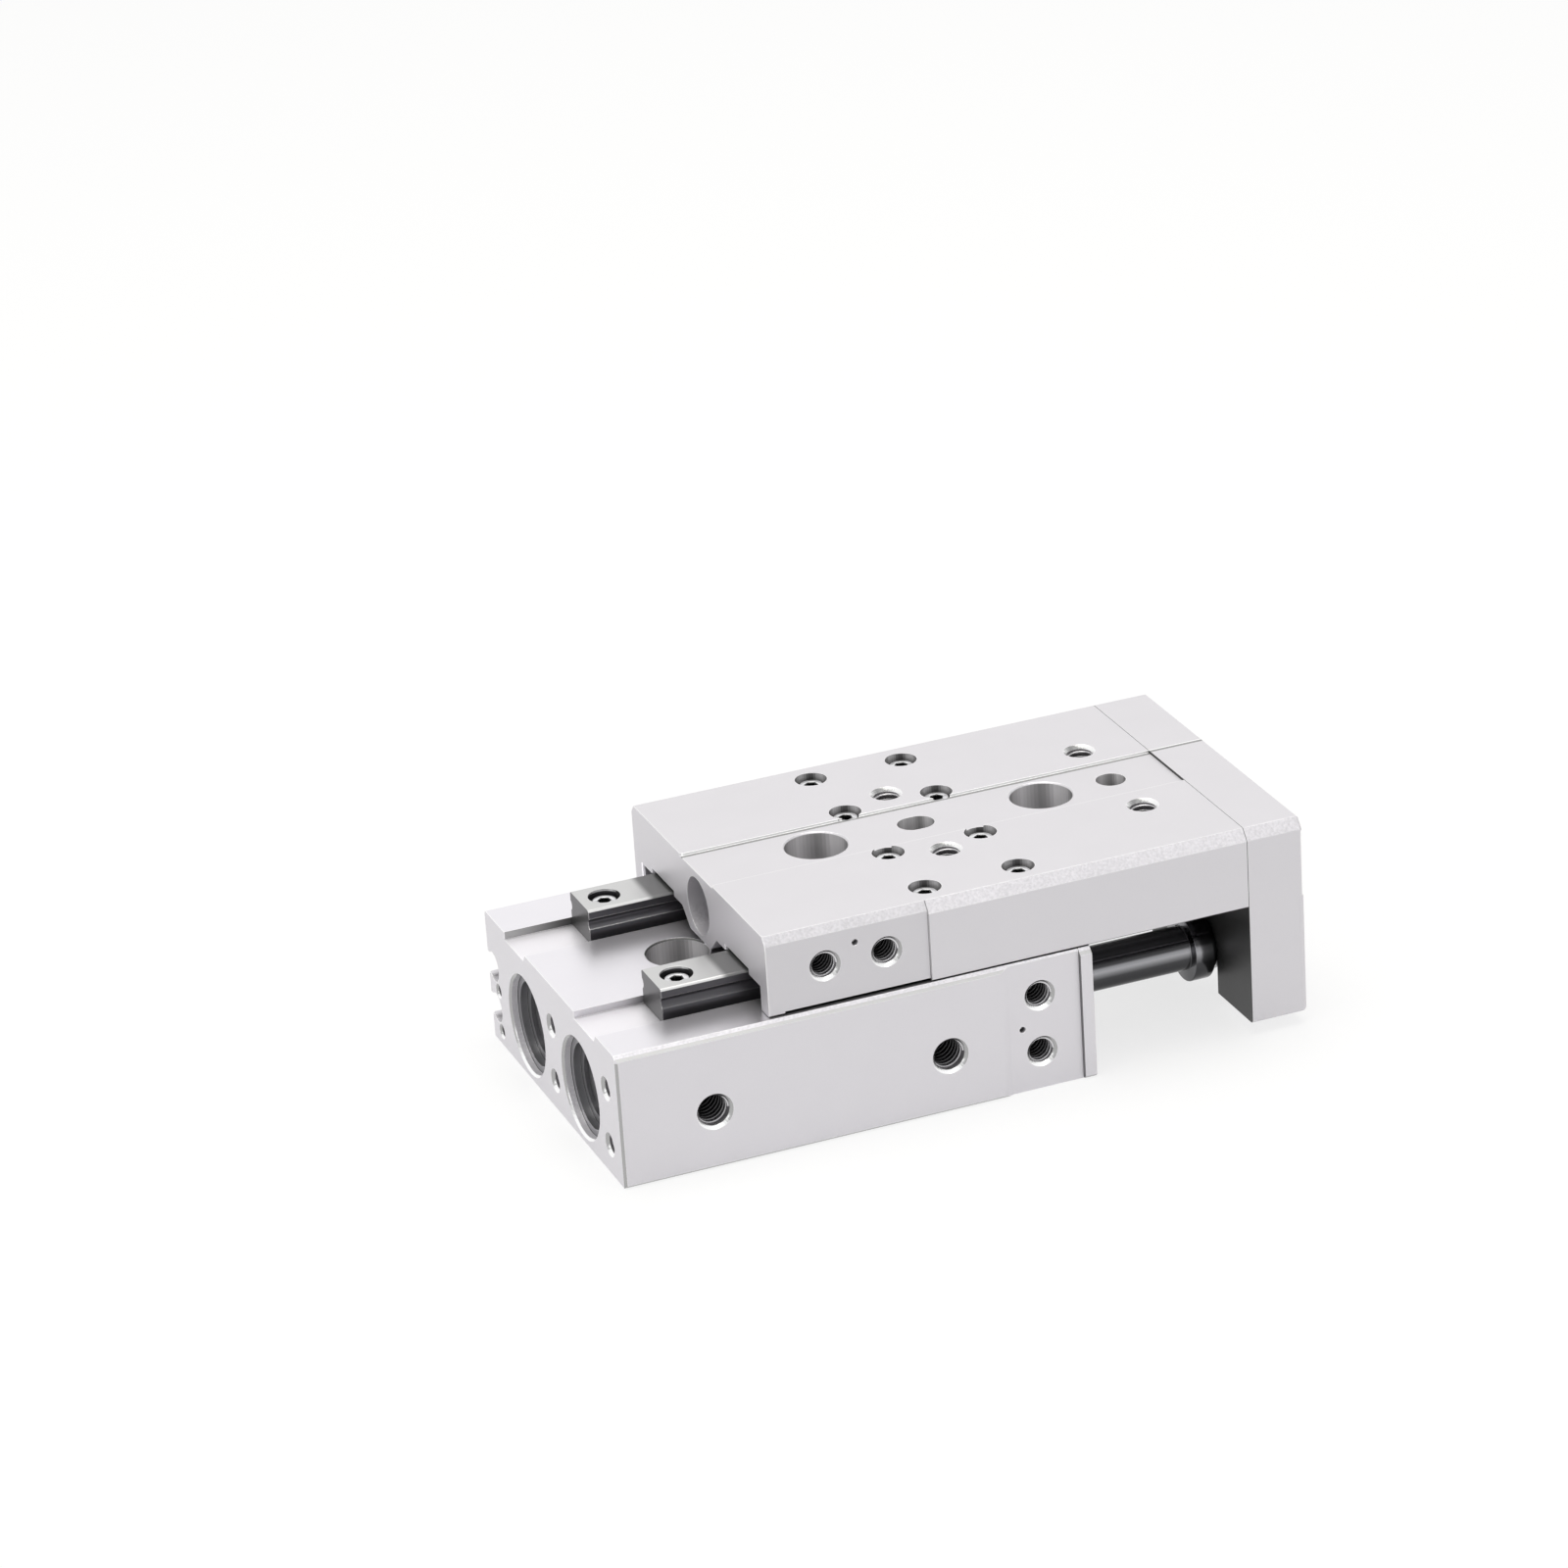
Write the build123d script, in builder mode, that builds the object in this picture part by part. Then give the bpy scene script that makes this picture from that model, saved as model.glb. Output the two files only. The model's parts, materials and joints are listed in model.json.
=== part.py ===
"""Twin-rod pneumatic slide table, shown extended: housing, two guide rails, table and end plate.

Millimetres. +X is the way the table travels out, +Y is the side with the sensor slots, +Z is up.
The origin is on the base face, midway between the two base bolts.
"""

import os
from math import sqrt

from build123d import *

os.makedirs("parts", exist_ok=True)

# Housing block
body_width = 50.0
base_bolt_pitch_beyond_stroke = 12.0
body_top_chamfer = 0.7
body_edge_chamfer = 0.35

# Cylinders
stroke = 20.0
bore_diameter = 12.0
bore_spacing = 20.4
bore_height = 7.75
bore_roof = 4.75
rod_diameter = 6.0
piston_rear_room = 2.3

# Table and end plate
table_width = 48.4
table_roof = 4.05
table_rear_inset = 1.25
retracted_plate_gap = 2.75
end_plate_thickness = 8.0
end_plate_bottom = 1.75
end_plate_chamfer = 0.4
table_gap = 0.1

# Guide rails and blocks
rail_width = 7.0
rail_height = 4.8
rail_spacing = 26.6
rail_rear_setback = 9.5
rail_front_setback = 0.8
rail_seat_depth = 1.05
rail_seat_slope_width = 0.8
rail_screw_pitch = 15.0
rail_end_distance = 3.5
rail_screw_head_radius = 1.9
rail_screw_head_height = 2.0
rail_counterbore_depth = 2.65
rail_screw_radius = 1.0
rail_screw_length = 5.2
block_height = 8.0
block_width = 16.4
block_steel_length = 17.6
end_cap_length = 2.6
end_seal_length = 0.6
end_cap_relief = 0.15
block_side_gap = 0.25
block_bolt_pitch_x = 13.0
block_bolt_pitch_y = 12.0
block_centre_from_table_rear = 30.4
ball_diameter = 1.5
ball_row_height = 2.83
ball_row_spacing = 2.15
ball_pitch = 1.75
ball_bite = 0.4
ball_clearance = 0.05
rail_edge_chamfer = 0.25

# Named clearances
thread_clearance = 0.02
running_clearance = 0.03
seal_clearance = 0.07
piston_clearance = 0.15
bolt_clearance = 0.25
pocket_clearance = 0.1
rail_to_block_gap = 0.35
stop_clearance = 0.2
piston_stop_clearance = 0.1
bumper_clearance = 0.15
seat_fit = 0.04

# Screws
hexagon = 6
screw_edge_chamfer = 0.15
key_m2 = 1.5
key_m2_depth = 1.0
key_m2_low_depth = 0.9
key_m3 = 2.5
key_m3_depth = 1.5

# Front plate
front_plate_thickness = 1.7
front_plate_chamfer = 0.8
collar_pocket_depth = 0.85
cover_screw_inset = 4.65
cover_screw_high = 12.2
cover_screw_low = 4.25
cover_screw_radius = 1.5
cover_screw_length = 5.3
cover_screw_head_radius = 2.75
lug_screw_inset = 3.7
lug_screw_drop = 2.95
lug_screw_radius = 1.0
lug_screw_length = 5.0
lug_screw_head_radius = 1.75
flat_head_key_depth = 0.9
key_m3_flat = 2.0
key_m2_flat = 1.3

# Sensor slots
slot_radius = 2.05
slot_mouth = 3.2
slot_inset = 2.3
slot_low = 5.0
slot_pitch = 6.0

# Ports and tapped holes
port_from_rear = 12.75
port_to_base_bolt = 5.25
port_from_front = 18.65
port_rise = 0.15
port_tap_radius = 2.1
port_mouth_radius = 2.5
port_tap_depth = 7.0
passage_radius = 1.25
m4_tap_radius = 1.7
m4_mouth_radius = 2.15
m4_tap_depth = 6.0
m3_tap_radius = 1.25
m3_mouth_radius = 1.65
rear_tap_depth = 8.0
m2_tap_radius = 0.8
m2_mouth_radius = 1.05

# Base bolt holes
counterbore_radius = 4.15
counterbore_depth = 4.4
base_tap_radius = 2.1
rim_chamfer = 0.2

# Stopper pads on the front side
body_pad_length = 11.2
body_pad_slope = 1.2
body_pad_depth = 0.5
body_pad_hole_from_front = 5.7
body_pad_hole_spacing = 8.0
body_pad_hole_mid_height = 9.24
table_pad_length = 22.25
table_pad_depth = 0.3
table_pad_hole_wall = 0.2
table_pad_hole_spacing = 8.45
table_pad_hole_rise = 2.05
dimple_rise = 2.3
dimple_back = 2.6
dimple_drop = 0.35
dimple_radius = 0.45
dimple_depth = 0.8
dimple_point_radius = 0.2

# Table section
table_chamfer_y = 1.2
table_chamfer_z = 1.5
leg_chamfer = 0.1
leg_thickness = 3.2
foot_length = 2.2
leg_relief = 0.35
groove_width = 11.0
groove_depth = 0.3
rail_roof_gap = 0.5
rail_side_gap = 0.3
low_roof_drop = 0.8
boss_bottom_gap = 1.15
boss_half_width = 3.6
boss_shoulder = 6.2
rear_recess_radius = 3.9
rear_recess_depth = 10.0
rear_recess_drop = 0.075

# Table top holes, measured from the middle of the block's bolts
work_hole_first = 0.45
work_hole_pitch_x = 28.0
work_hole_pitch_y = 20.0
work_floor = 0.45
dowel_radius = 2.0
dowel_depth = 5.0
dowel_slot_length = 5.0
block_screw_head_radius = 1.9
block_screw_head_height = 1.8
block_screw_sink = 0.8
block_screw_radius = 1.0
block_thread_depth = 2.2

# End plate
plate_screw_inner_y = 4.5
plate_screw_edge = 6.2
plate_screw_wall = 0.9
plate_screw_radius = 1.5
plate_screw_head_radius = 2.75
plate_screw_head_height = 3.0
plate_screw_sink = 0.2
plate_screw_length = 13.0
tool_hole_edge = 4.7
tool_hole_low = 6.0
tool_hole_spacing_z = 12.0
rod_slot_width = 7.1
nut_pocket_room = 0.3
nut_sink = 0.4

# Rod ends
collar_radius = 4.6
rod_thread_radius = 2.5
float_bush_clearance = 0.05
washer_radius = 4.9
washer_thickness = 0.8
rod_nut_height = 3.2
rod_nut_across_flats = 8.0

# Piston and its parts
rod_tail_radius = 2.0
rod_tail_overhang = 3.1
piston_nut_height = 2.7
piston_nut_across_flats = 7.0
ring_groove_depth = 1.6
seal_width = 1.5
seal_inset = 1.7
magnet_width = 2.4
magnet_inset = 1.2
wear_ring_gap = 0.8
wear_ring_width = 1.2
wear_ring_to_seal = 1.2
magnet_gap = 0.4

# Head plug and snap ring
mouth_step = 0.7
mouth_chamfer = 0.3
snap_groove_start = 1.1
snap_groove_depth = 0.4
snap_ring_reach = 0.95
snap_ring_thickness = 1.0
snap_ring_room = 0.1
snap_ring_opening = 3.0
snap_ring_ear_radius = 0.95
snap_ring_ear_hole_radius = 0.45
snap_ring_ear_inset = 0.85
plug_flange_length = 1.2
plug_recess_wall = 1.5
plug_recess_depth = 3.6
rear_bumper_length = 2.0
plug_dish_rim = 2.1
plug_dish_depth = 0.6
plug_pull_thread_radius = 1.25
plug_groove_start = 1.9
plug_groove_to_recess = 0.8
gland_groove_start = 1.7
oring_groove_width = 1.5
oring_room = 0.08
oring_radius = 0.45

# Rod gland
gland_flange_length = 1.5
gland_flange_step = 0.8
gland_nose_length = 2.2
gland_nose_wall = 1.7
gland_bore_clearance = 0.1
bush_length = 7.0
bush_wall = 1.0
bush_to_seal = 1.2
rod_seal_length = 3.0
rod_seal_wall = 1.9
seal_to_wiper = 2.5
wiper_length = 2.8
wiper_wall = 1.6
bumper_length = 1.5

# Radii worked out from the sizes
bore_radius = bore_diameter / 2
rod_radius = rod_diameter / 2
mouth_radius = bore_radius + mouth_step
snap_groove_radius = mouth_radius + snap_groove_depth
snap_ring_inner_radius = mouth_radius - snap_ring_reach
snap_ring_ear_path_radius = mouth_radius - snap_ring_ear_inset
gland_flange_radius = bore_radius + gland_flange_step
gland_nose_radius = rod_radius + gland_nose_wall
bush_radius = rod_radius + bush_wall
rod_seal_radius = rod_radius + rod_seal_wall
wiper_radius = rod_radius + wiper_wall
plug_recess_radius = bore_radius - plug_recess_wall
plug_dish_radius = mouth_radius - plug_dish_rim
ring_groove_radius = bore_radius - ring_groove_depth
magnet_outer_radius = bore_radius - magnet_gap
rail_counterbore_radius = rail_screw_head_radius + bolt_clearance
nut_pocket_radius = washer_radius + nut_pocket_room

# Lengths worked out from the sizes
snap_groove_width = snap_ring_thickness + snap_ring_room
oring_groove_depth = 2 * oring_radius + oring_room
plug_length = (
    plug_flange_length + plug_groove_start + oring_groove_width + plug_groove_to_recess + plug_recess_depth
)
piston_length = (
    magnet_inset
    + magnet_width
    + wear_ring_gap
    + wear_ring_width
    + wear_ring_to_seal
    + seal_width
    + seal_inset
)
rod_seal_start = rod_seal_length + seal_to_wiper + wiper_length
gland_length = bush_length + bush_to_seal + rod_seal_start
rear_parts_length = snap_groove_start + snap_groove_width + plug_length
front_parts_length = bumper_length + piston_stop_clearance + gland_nose_length + gland_length
body_length = rear_parts_length + piston_rear_room + stroke + piston_length + front_parts_length
body_height = bore_height + bore_radius + bore_roof
rail_length = body_length - rail_rear_setback - rail_front_setback
base_bolt_pitch = base_bolt_pitch_beyond_stroke + stroke
nut_pocket_depth = washer_thickness + rod_nut_height + nut_sink

# Places worked out from the sizes
x_rear = -base_bolt_pitch / 2 - port_to_base_bolt - port_from_rear
x_front = x_rear + body_length
x_nose = x_front + front_plate_thickness
x_table_rear = x_rear + table_rear_inset + stroke
x_table_front = x_nose + stroke + retracted_plate_gap
table_length = x_table_front - x_table_rear
x_plate_front = x_table_front + end_plate_thickness
seat_z = body_height - rail_seat_depth
rail_top = seat_z + rail_height
block_top = seat_z + block_height
table_top = block_top + table_roof
leg_bottom = body_height + table_gap
x_rail = x_rear + rail_rear_setback
x_block = x_table_rear + block_centre_from_table_rear
half_block = block_steel_length / 2 + end_cap_length + end_seal_length
rail_lines = [rail_spacing / 2, -rail_spacing / 2]
bore_axes = [(bore_spacing / 2, bore_height), (-bore_spacing / 2, bore_height)]
bore_places = [Location((0, y, z)) for y, z in bore_axes]
hanging = (Align.CENTER, Align.CENTER, Align.MAX)
standing = (Align.CENTER, Align.CENTER, Align.MIN)


def discs(plane, points, radius):
    """Circles of one radius at several points of a plane."""
    with BuildSketch(plane) as sketch:
        with Locations(*points):
            Circle(radius)
    return sketch.sketch


def turned(*stretches):
    """A turned piece on the X axis from (start, end, outer radius, inner radius) stretches."""
    with BuildPart() as piece:
        for start, end, outer, inner in stretches:
            with BuildSketch(Plane.YZ.offset(start)):
                Circle(outer)
                if inner > 0:
                    Circle(inner, mode=Mode.SUBTRACT)
            extrude(amount=end - start)
    return piece.part


def on_both_bores(piece):
    """A turned piece repeated on both cylinder axes."""
    with BuildPart() as pair:
        with Locations(*bore_places):
            add(piece)
    return pair.part


def socket_screw(head_radius, head_height, shank_radius, length, key_size, key_depth):
    """A cap screw standing on its tip, with the top of its head at z = 0."""
    with BuildPart() as screw:
        with BuildSketch(Plane.XY.offset(-head_height)):
            Circle(head_radius)
        extrude(amount=head_height)
        chamfer(screw.edges().group_by(Axis.Z)[-1], screw_edge_chamfer)
        with BuildSketch(Plane.XY.offset(-head_height - length)):
            Circle(shank_radius)
        extrude(amount=length)
        with BuildSketch(Plane.XY.offset(-key_depth)):
            RegularPolygon(key_size / 2, hexagon, major_radius=False)
        extrude(amount=key_depth, mode=Mode.SUBTRACT)
    return screw.part


def flat_head_screw(head_radius, shank_radius, length, key_size, key_depth):
    """A countersunk screw with its flat head at z = 0."""
    cone = head_radius - shank_radius
    with BuildPart() as screw:
        with Locations((0, 0, -cone)):
            Cone(shank_radius, head_radius, cone, align=standing)
        with BuildSketch(Plane.XY.offset(-length)):
            Circle(shank_radius)
        extrude(amount=length - cone)
        with BuildSketch(Plane.XY.offset(-key_depth)):
            RegularPolygon(key_size / 2, hexagon, major_radius=False)
        extrude(amount=key_depth, mode=Mode.SUBTRACT)
    return screw.part


def hex_nut(across_flats, height, hole_radius):
    """A hexagon nut on the X axis, from x = 0."""
    with BuildPart() as nut:
        with BuildSketch(Plane.YZ):
            RegularPolygon(across_flats / 2, hexagon, major_radius=False)
            Circle(hole_radius, mode=Mode.SUBTRACT)
        extrude(amount=height)
    return nut.part


def cone_mouth(depth, wide_radius, hole_radius):
    """The countersink tool at the mouth of a hole, its wide end at z = 0."""
    with BuildPart() as tool:
        Cone(hole_radius, wide_radius, depth, align=hanging)
    return tool.part


def facing(x, y, z, towards):
    """A place at (x, y, z) whose own +Z points along -X, +X, -Y or +Z."""
    turns = {"-X": (0, -90, 0), "+X": (0, 90, 0), "-Y": (90, 0, 0), "+Z": (0, 0, 0)}
    return Location((x, y, z), turns[towards])


def tapped(places, tap_radius, mouth, depth):
    """Cuts tapped holes with a countersunk mouth into the part being built."""
    with Locations(*places):
        Cylinder(tap_radius, depth, align=hanging, mode=Mode.SUBTRACT)
        add(cone_mouth(mouth - tap_radius, mouth, tap_radius), mode=Mode.SUBTRACT)


def rail_seat(rail_y):
    """The seat's section: a wall on the +Y side to locate the rail, a sloped step on the other."""
    wall = rail_y + rail_width / 2 + seat_fit
    step = rail_y - rail_width / 2 - rail_side_gap
    with BuildSketch(Plane.YZ.offset(x_rear)) as sketch:
        with BuildLine():
            Polyline(
                (wall, body_height),
                (wall, seat_z),
                (step, seat_z),
                (step - rail_seat_slope_width, body_height),
                close=True,
            )
        make_face()
    return sketch.sketch


slot_high = slot_low + slot_pitch
cover_screw_column = body_width / 2 - cover_screw_inset
cover_points = [(y, z) for y in (0, -cover_screw_column) for z in (cover_screw_high, cover_screw_low)]
lug_screw_y = body_width / 2 - lug_screw_inset
lug_points = [(lug_screw_y, z) for z in ((slot_low + slot_high) / 2, slot_low - lug_screw_drop)]
base_bolts = [(x, 0) for x in (-base_bolt_pitch / 2, base_bolt_pitch / 2)]
rail_screw_count = int((rail_length - rail_end_distance) // rail_screw_pitch) + 1
rail_screw_xs = [x_rail + rail_end_distance + i * rail_screw_pitch for i in range(rail_screw_count)]
rail_screw_top = rail_top - rail_counterbore_depth + rail_screw_head_height
ports_x = [x_rear + port_from_rear, x_front - port_from_front]
port_height = bore_height + port_rise
x_body_pad_holes = x_front - body_pad_hole_from_front
plug_front = x_rear + rear_parts_length
x_bore_start = x_rear + snap_groove_start + snap_groove_width + plug_flange_length
counterbore_rim = cone_mouth(rim_chamfer, counterbore_radius + rim_chamfer, counterbore_radius)
dimple = cone_mouth(dimple_depth, dimple_radius, dimple_point_radius)

# Slide body
with BuildPart() as slide_body:
    with BuildSketch(Plane.YZ.offset(x_rear)):
        with Locations((0, body_height / 2)):
            Rectangle(body_width, body_height)
    extrude(amount=body_length)
    chamfer(slide_body.edges().filter_by(Axis.X).group_by(Axis.Z)[-1], body_top_chamfer)
    chamfer(slide_body.edges().filter_by(Axis.X).group_by(Axis.Z)[0], body_edge_chamfer)
    chamfer(slide_body.faces().sort_by(Axis.X)[0].edges().filter_by(Axis.Z), body_edge_chamfer)
    for rail_y in rail_lines:
        extrude(rail_seat(rail_y), amount=body_length, mode=Mode.SUBTRACT)
    for slot_z in (slot_high, slot_low):
        with BuildSketch(Plane.YZ.offset(x_rear)):
            with Locations((body_width / 2 - slot_inset, slot_z)):
                Circle(slot_radius)
            with Locations((body_width / 2, slot_z)):
                Rectangle(2 * slot_inset, slot_mouth)
        extrude(amount=body_length, mode=Mode.SUBTRACT)
    extrude(
        discs(Plane.YZ.offset(x_rear), bore_axes, mouth_radius),
        amount=x_bore_start - x_rear,
        mode=Mode.SUBTRACT,
    )
    with Locations(*[facing(x_rear, y, z, "-X") for y, z in bore_axes]):
        add(cone_mouth(mouth_chamfer, mouth_radius + mouth_chamfer, mouth_radius), mode=Mode.SUBTRACT)
    extrude(
        discs(Plane.YZ.offset(x_rear + snap_groove_start), bore_axes, snap_groove_radius),
        amount=snap_groove_width,
        mode=Mode.SUBTRACT,
    )
    extrude(discs(Plane.YZ.offset(x_rear), bore_axes, bore_radius), amount=body_length, mode=Mode.SUBTRACT)
    extrude(
        discs(Plane.YZ.offset(x_front), bore_axes, gland_flange_radius + seat_fit),
        amount=-gland_flange_length,
        mode=Mode.SUBTRACT,
    )
    with BuildSketch(Plane.XY):
        with BuildLine():
            Polyline(
                (x_front - body_pad_length, -body_width / 2),
                (x_front - body_pad_length + body_pad_slope, -body_width / 2 + body_pad_depth),
                (x_front, -body_width / 2 + body_pad_depth),
                (x_front, -body_width / 2),
                close=True,
            )
        make_face()
    extrude(amount=body_height, mode=Mode.SUBTRACT)
    extrude(discs(Plane.XY, base_bolts, base_tap_radius), amount=body_height, mode=Mode.SUBTRACT)
    with Locations(*[facing(x, y, body_height, "+Z") for x, y in base_bolts]):
        Cylinder(counterbore_radius, counterbore_depth, align=hanging, mode=Mode.SUBTRACT)
        add(counterbore_rim, mode=Mode.SUBTRACT)
    port_places = [facing(x, -body_width / 2, port_height, "-Y") for x in ports_x]
    tapped(port_places, port_tap_radius, port_mouth_radius, port_tap_depth)
    with Locations(*port_places):
        Cylinder(passage_radius, (body_width + bore_spacing) / 2, align=hanging, mode=Mode.SUBTRACT)
    pad_y = -body_width / 2 + body_pad_depth
    pad_places = [
        facing(x_body_pad_holes, pad_y, body_pad_hole_mid_height + side * body_pad_hole_spacing / 2, "-Y")
        for side in (-1, 1)
    ]
    tapped(pad_places, m4_tap_radius, m4_mouth_radius, m4_tap_depth)
    dimple_z = body_pad_hole_mid_height - dimple_drop
    with Locations(facing(x_body_pad_holes - dimple_back, pad_y, dimple_z, "-Y")):
        add(dimple, mode=Mode.SUBTRACT)
    rear_m3_places = [facing(x_rear, y, z, "-X") for y, z in cover_points]
    tapped(rear_m3_places, m3_tap_radius, m3_mouth_radius, rear_tap_depth)
    rear_m2_places = [facing(x_rear, y, z, "-X") for y, z in lug_points]
    tapped(rear_m2_places, m2_tap_radius, m2_mouth_radius, rear_tap_depth)
    front_depth = cover_screw_length - front_plate_thickness + bolt_clearance
    extrude(
        discs(Plane.YZ.offset(x_front), cover_points, cover_screw_radius + thread_clearance),
        amount=-front_depth,
        mode=Mode.SUBTRACT,
    )
    extrude(
        discs(Plane.YZ.offset(x_front), lug_points, lug_screw_radius + thread_clearance),
        amount=-(lug_screw_length - front_plate_thickness + bolt_clearance),
        mode=Mode.SUBTRACT,
    )
    rail_taps = [(x, y) for x in rail_screw_xs for y in rail_lines]
    extrude(
        discs(Plane.XY.offset(seat_z), rail_taps, rail_screw_radius + thread_clearance),
        amount=-(rail_screw_length - (rail_height - rail_counterbore_depth) + bolt_clearance),
        mode=Mode.SUBTRACT,
    )
slide_body.part.label = "slide_body"
export_step(slide_body.part, "parts/slide_body.step")

# Front plate
with BuildPart() as front_plate:
    with BuildSketch(Plane.YZ.offset(x_front)):
        with Locations((0, body_height / 2)):
            Rectangle(body_width, body_height)
        with Locations(*bore_axes):
            Circle(rod_radius + bolt_clearance, mode=Mode.SUBTRACT)
        with Locations(*cover_points):
            Circle(cover_screw_radius + thread_clearance, mode=Mode.SUBTRACT)
        with Locations(*lug_points):
            Circle(lug_screw_radius + thread_clearance, mode=Mode.SUBTRACT)
    extrude(amount=front_plate_thickness)
    outer_edges = front_plate.edges().filter_by(Axis.X)
    chamfer(outer_edges.group_by(Axis.Z)[-1], front_plate_chamfer)
    chamfer(front_plate.edges().filter_by(Axis.X).group_by(Axis.Z)[0], body_edge_chamfer)
    for points, head, shank in (
        (cover_points, cover_screw_head_radius, cover_screw_radius),
        (lug_points, lug_screw_head_radius, lug_screw_radius),
    ):
        head_hole = head + thread_clearance
        with Locations(*[facing(x_nose, y, z, "+X") for y, z in points]):
            add(cone_mouth(head_hole - shank, head_hole, shank), mode=Mode.SUBTRACT)
    extrude(
        discs(Plane.YZ.offset(x_nose), bore_axes, collar_radius + bolt_clearance),
        amount=-collar_pocket_depth,
        mode=Mode.SUBTRACT,
    )
front_plate.part.label = "front_plate"
export_step(front_plate.part, "parts/front_plate.step")

# Front plate screws
cover_screw = flat_head_screw(
    cover_screw_head_radius, cover_screw_radius, cover_screw_length, key_m3_flat, flat_head_key_depth
)
with BuildPart() as front_plate_screws:
    with Locations(*[facing(x_nose, y, z, "+X") for y, z in cover_points]):
        add(cover_screw)
front_plate_screws.part.label = "front_plate_screws"
export_step(front_plate_screws.part, "parts/front_plate_screws.step")

lug_screw = flat_head_screw(
    lug_screw_head_radius, lug_screw_radius, lug_screw_length, key_m2_flat, flat_head_key_depth
)
with BuildPart() as front_plate_side_screws:
    with Locations(*[facing(x_nose, y, z, "+X") for y, z in lug_points]):
        add(lug_screw)
front_plate_side_screws.part.label = "front_plate_side_screws"
export_step(front_plate_side_screws.part, "parts/front_plate_side_screws.step")

# Guide rails
ball_out = rail_width / 2 + ball_diameter / 2 - ball_bite
ball_z = seat_z + ball_row_height
groove_radius = ball_diameter / 2 + ball_clearance


def make_rail(rail_y):
    """One guide rail, its four counterbored holes and a ball groove down each side."""
    with BuildPart() as rail:
        with BuildSketch(Plane.YZ.offset(x_rail)):
            with Locations((rail_y, seat_z + rail_height / 2)):
                Rectangle(rail_width, rail_height)
            with Locations((rail_y - ball_out, ball_z), (rail_y + ball_out, ball_z)):
                Circle(groove_radius, mode=Mode.SUBTRACT)
        extrude(amount=rail_length)
        chamfer(rail.edges().filter_by(Axis.X).group_by(Axis.Z)[-1], rail_edge_chamfer)
        points = [(x, rail_y) for x in rail_screw_xs]
        extrude(
            discs(Plane.XY.offset(seat_z), points, rail_screw_radius + thread_clearance),
            amount=rail_height,
            mode=Mode.SUBTRACT,
        )
        extrude(
            discs(Plane.XY.offset(rail_top), points, rail_counterbore_radius),
            amount=-rail_counterbore_depth,
            mode=Mode.SUBTRACT,
        )
    return rail.part


with BuildPart() as rail_back:
    add(make_rail(rail_lines[0]))
rail_back.part.label = "rail_back"
export_step(rail_back.part, "parts/rail_back.step")

with BuildPart() as rail_front:
    add(make_rail(rail_lines[1]))
rail_front.part.label = "rail_front"
export_step(rail_front.part, "parts/rail_front.step")

# Rail screws
rail_screw = socket_screw(
    rail_screw_head_radius,
    rail_screw_head_height,
    rail_screw_radius,
    rail_screw_length,
    key_m2,
    key_m2_depth,
)
with BuildPart() as rail_screws:
    with Locations(*[(x, y, rail_screw_top) for x in rail_screw_xs for y in rail_lines]):
        add(rail_screw)
rail_screws.part.label = "rail_screws"
export_step(rail_screws.part, "parts/rail_screws.step")

# Head plugs, one behind each piston
x_plug = x_rear + snap_groove_start + snap_groove_width
plug_radius = bore_radius - seat_fit
oring_seat = plug_radius - oring_groove_depth
x_plug_groove = x_bore_start + plug_groove_start
x_recess = plug_front - plug_recess_depth
x_dish = x_plug + plug_dish_depth
head_plug = turned(
    (x_plug, x_dish, mouth_radius - seat_fit, plug_dish_radius),
    (x_dish, x_bore_start, mouth_radius - seat_fit, plug_pull_thread_radius),
    (x_bore_start, x_plug_groove, plug_radius, plug_pull_thread_radius),
    (x_plug_groove, x_plug_groove + oring_groove_width, oring_seat, 0),
    (x_plug_groove + oring_groove_width, x_recess, plug_radius, 0),
    (x_recess, plug_front, plug_radius, plug_recess_radius),
)
for side, place in zip(("back", "front"), bore_places):
    with BuildPart() as head_plug_here:
        with Locations(place):
            add(head_plug)
    head_plug_here.part.label = f"head_plug_{side}"
    export_step(head_plug_here.part, f"parts/head_plug_{side}.step")

# O-rings on the head plugs
oring_path_radius = bore_radius - seal_clearance / 2 - oring_radius
with BuildPart() as plug_o_rings:
    for y, z in bore_axes:
        with Locations(Location((x_plug_groove + oring_groove_width / 2, y, z), (0, 90, 0))):
            Torus(oring_path_radius, oring_radius)
plug_o_rings.part.label = "plug_o_rings"
export_step(plug_o_rings.part, "parts/plug_o_rings.step")

# Snap rings behind the head plugs
x_snap = x_rear + snap_groove_start + (snap_groove_width - snap_ring_thickness) / 2
ear_across = snap_ring_opening / 2 + snap_ring_ear_radius
ear_out = sqrt(snap_ring_ear_path_radius**2 - ear_across**2)
with BuildPart() as snap_rings:
    for y, z in bore_axes:
        with BuildSketch(Plane.YZ.offset(x_snap)):
            with Locations((y, z)):
                Circle(snap_groove_radius - seat_fit)
                Circle(snap_ring_inner_radius, mode=Mode.SUBTRACT)
            with Locations((y - snap_groove_radius, z)):
                Rectangle(snap_groove_radius, snap_ring_opening, mode=Mode.SUBTRACT)
            ears = [(y - ear_out, z - ear_across), (y - ear_out, z + ear_across)]
            with Locations(*ears):
                Circle(snap_ring_ear_radius)
                Circle(snap_ring_ear_hole_radius, mode=Mode.SUBTRACT)
        extrude(amount=snap_ring_thickness)
snap_rings.part.label = "snap_rings"
export_step(snap_rings.part, "parts/snap_rings.step")

# Cushions in the plug recesses
with BuildPart() as rear_bumpers:
    add(on_both_bores(turned((x_recess, x_recess + rear_bumper_length, plug_recess_radius - seat_fit, 0))))
rear_bumpers.part.label = "rear_bumpers"
export_step(rear_bumpers.part, "parts/rear_bumpers.step")

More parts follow.
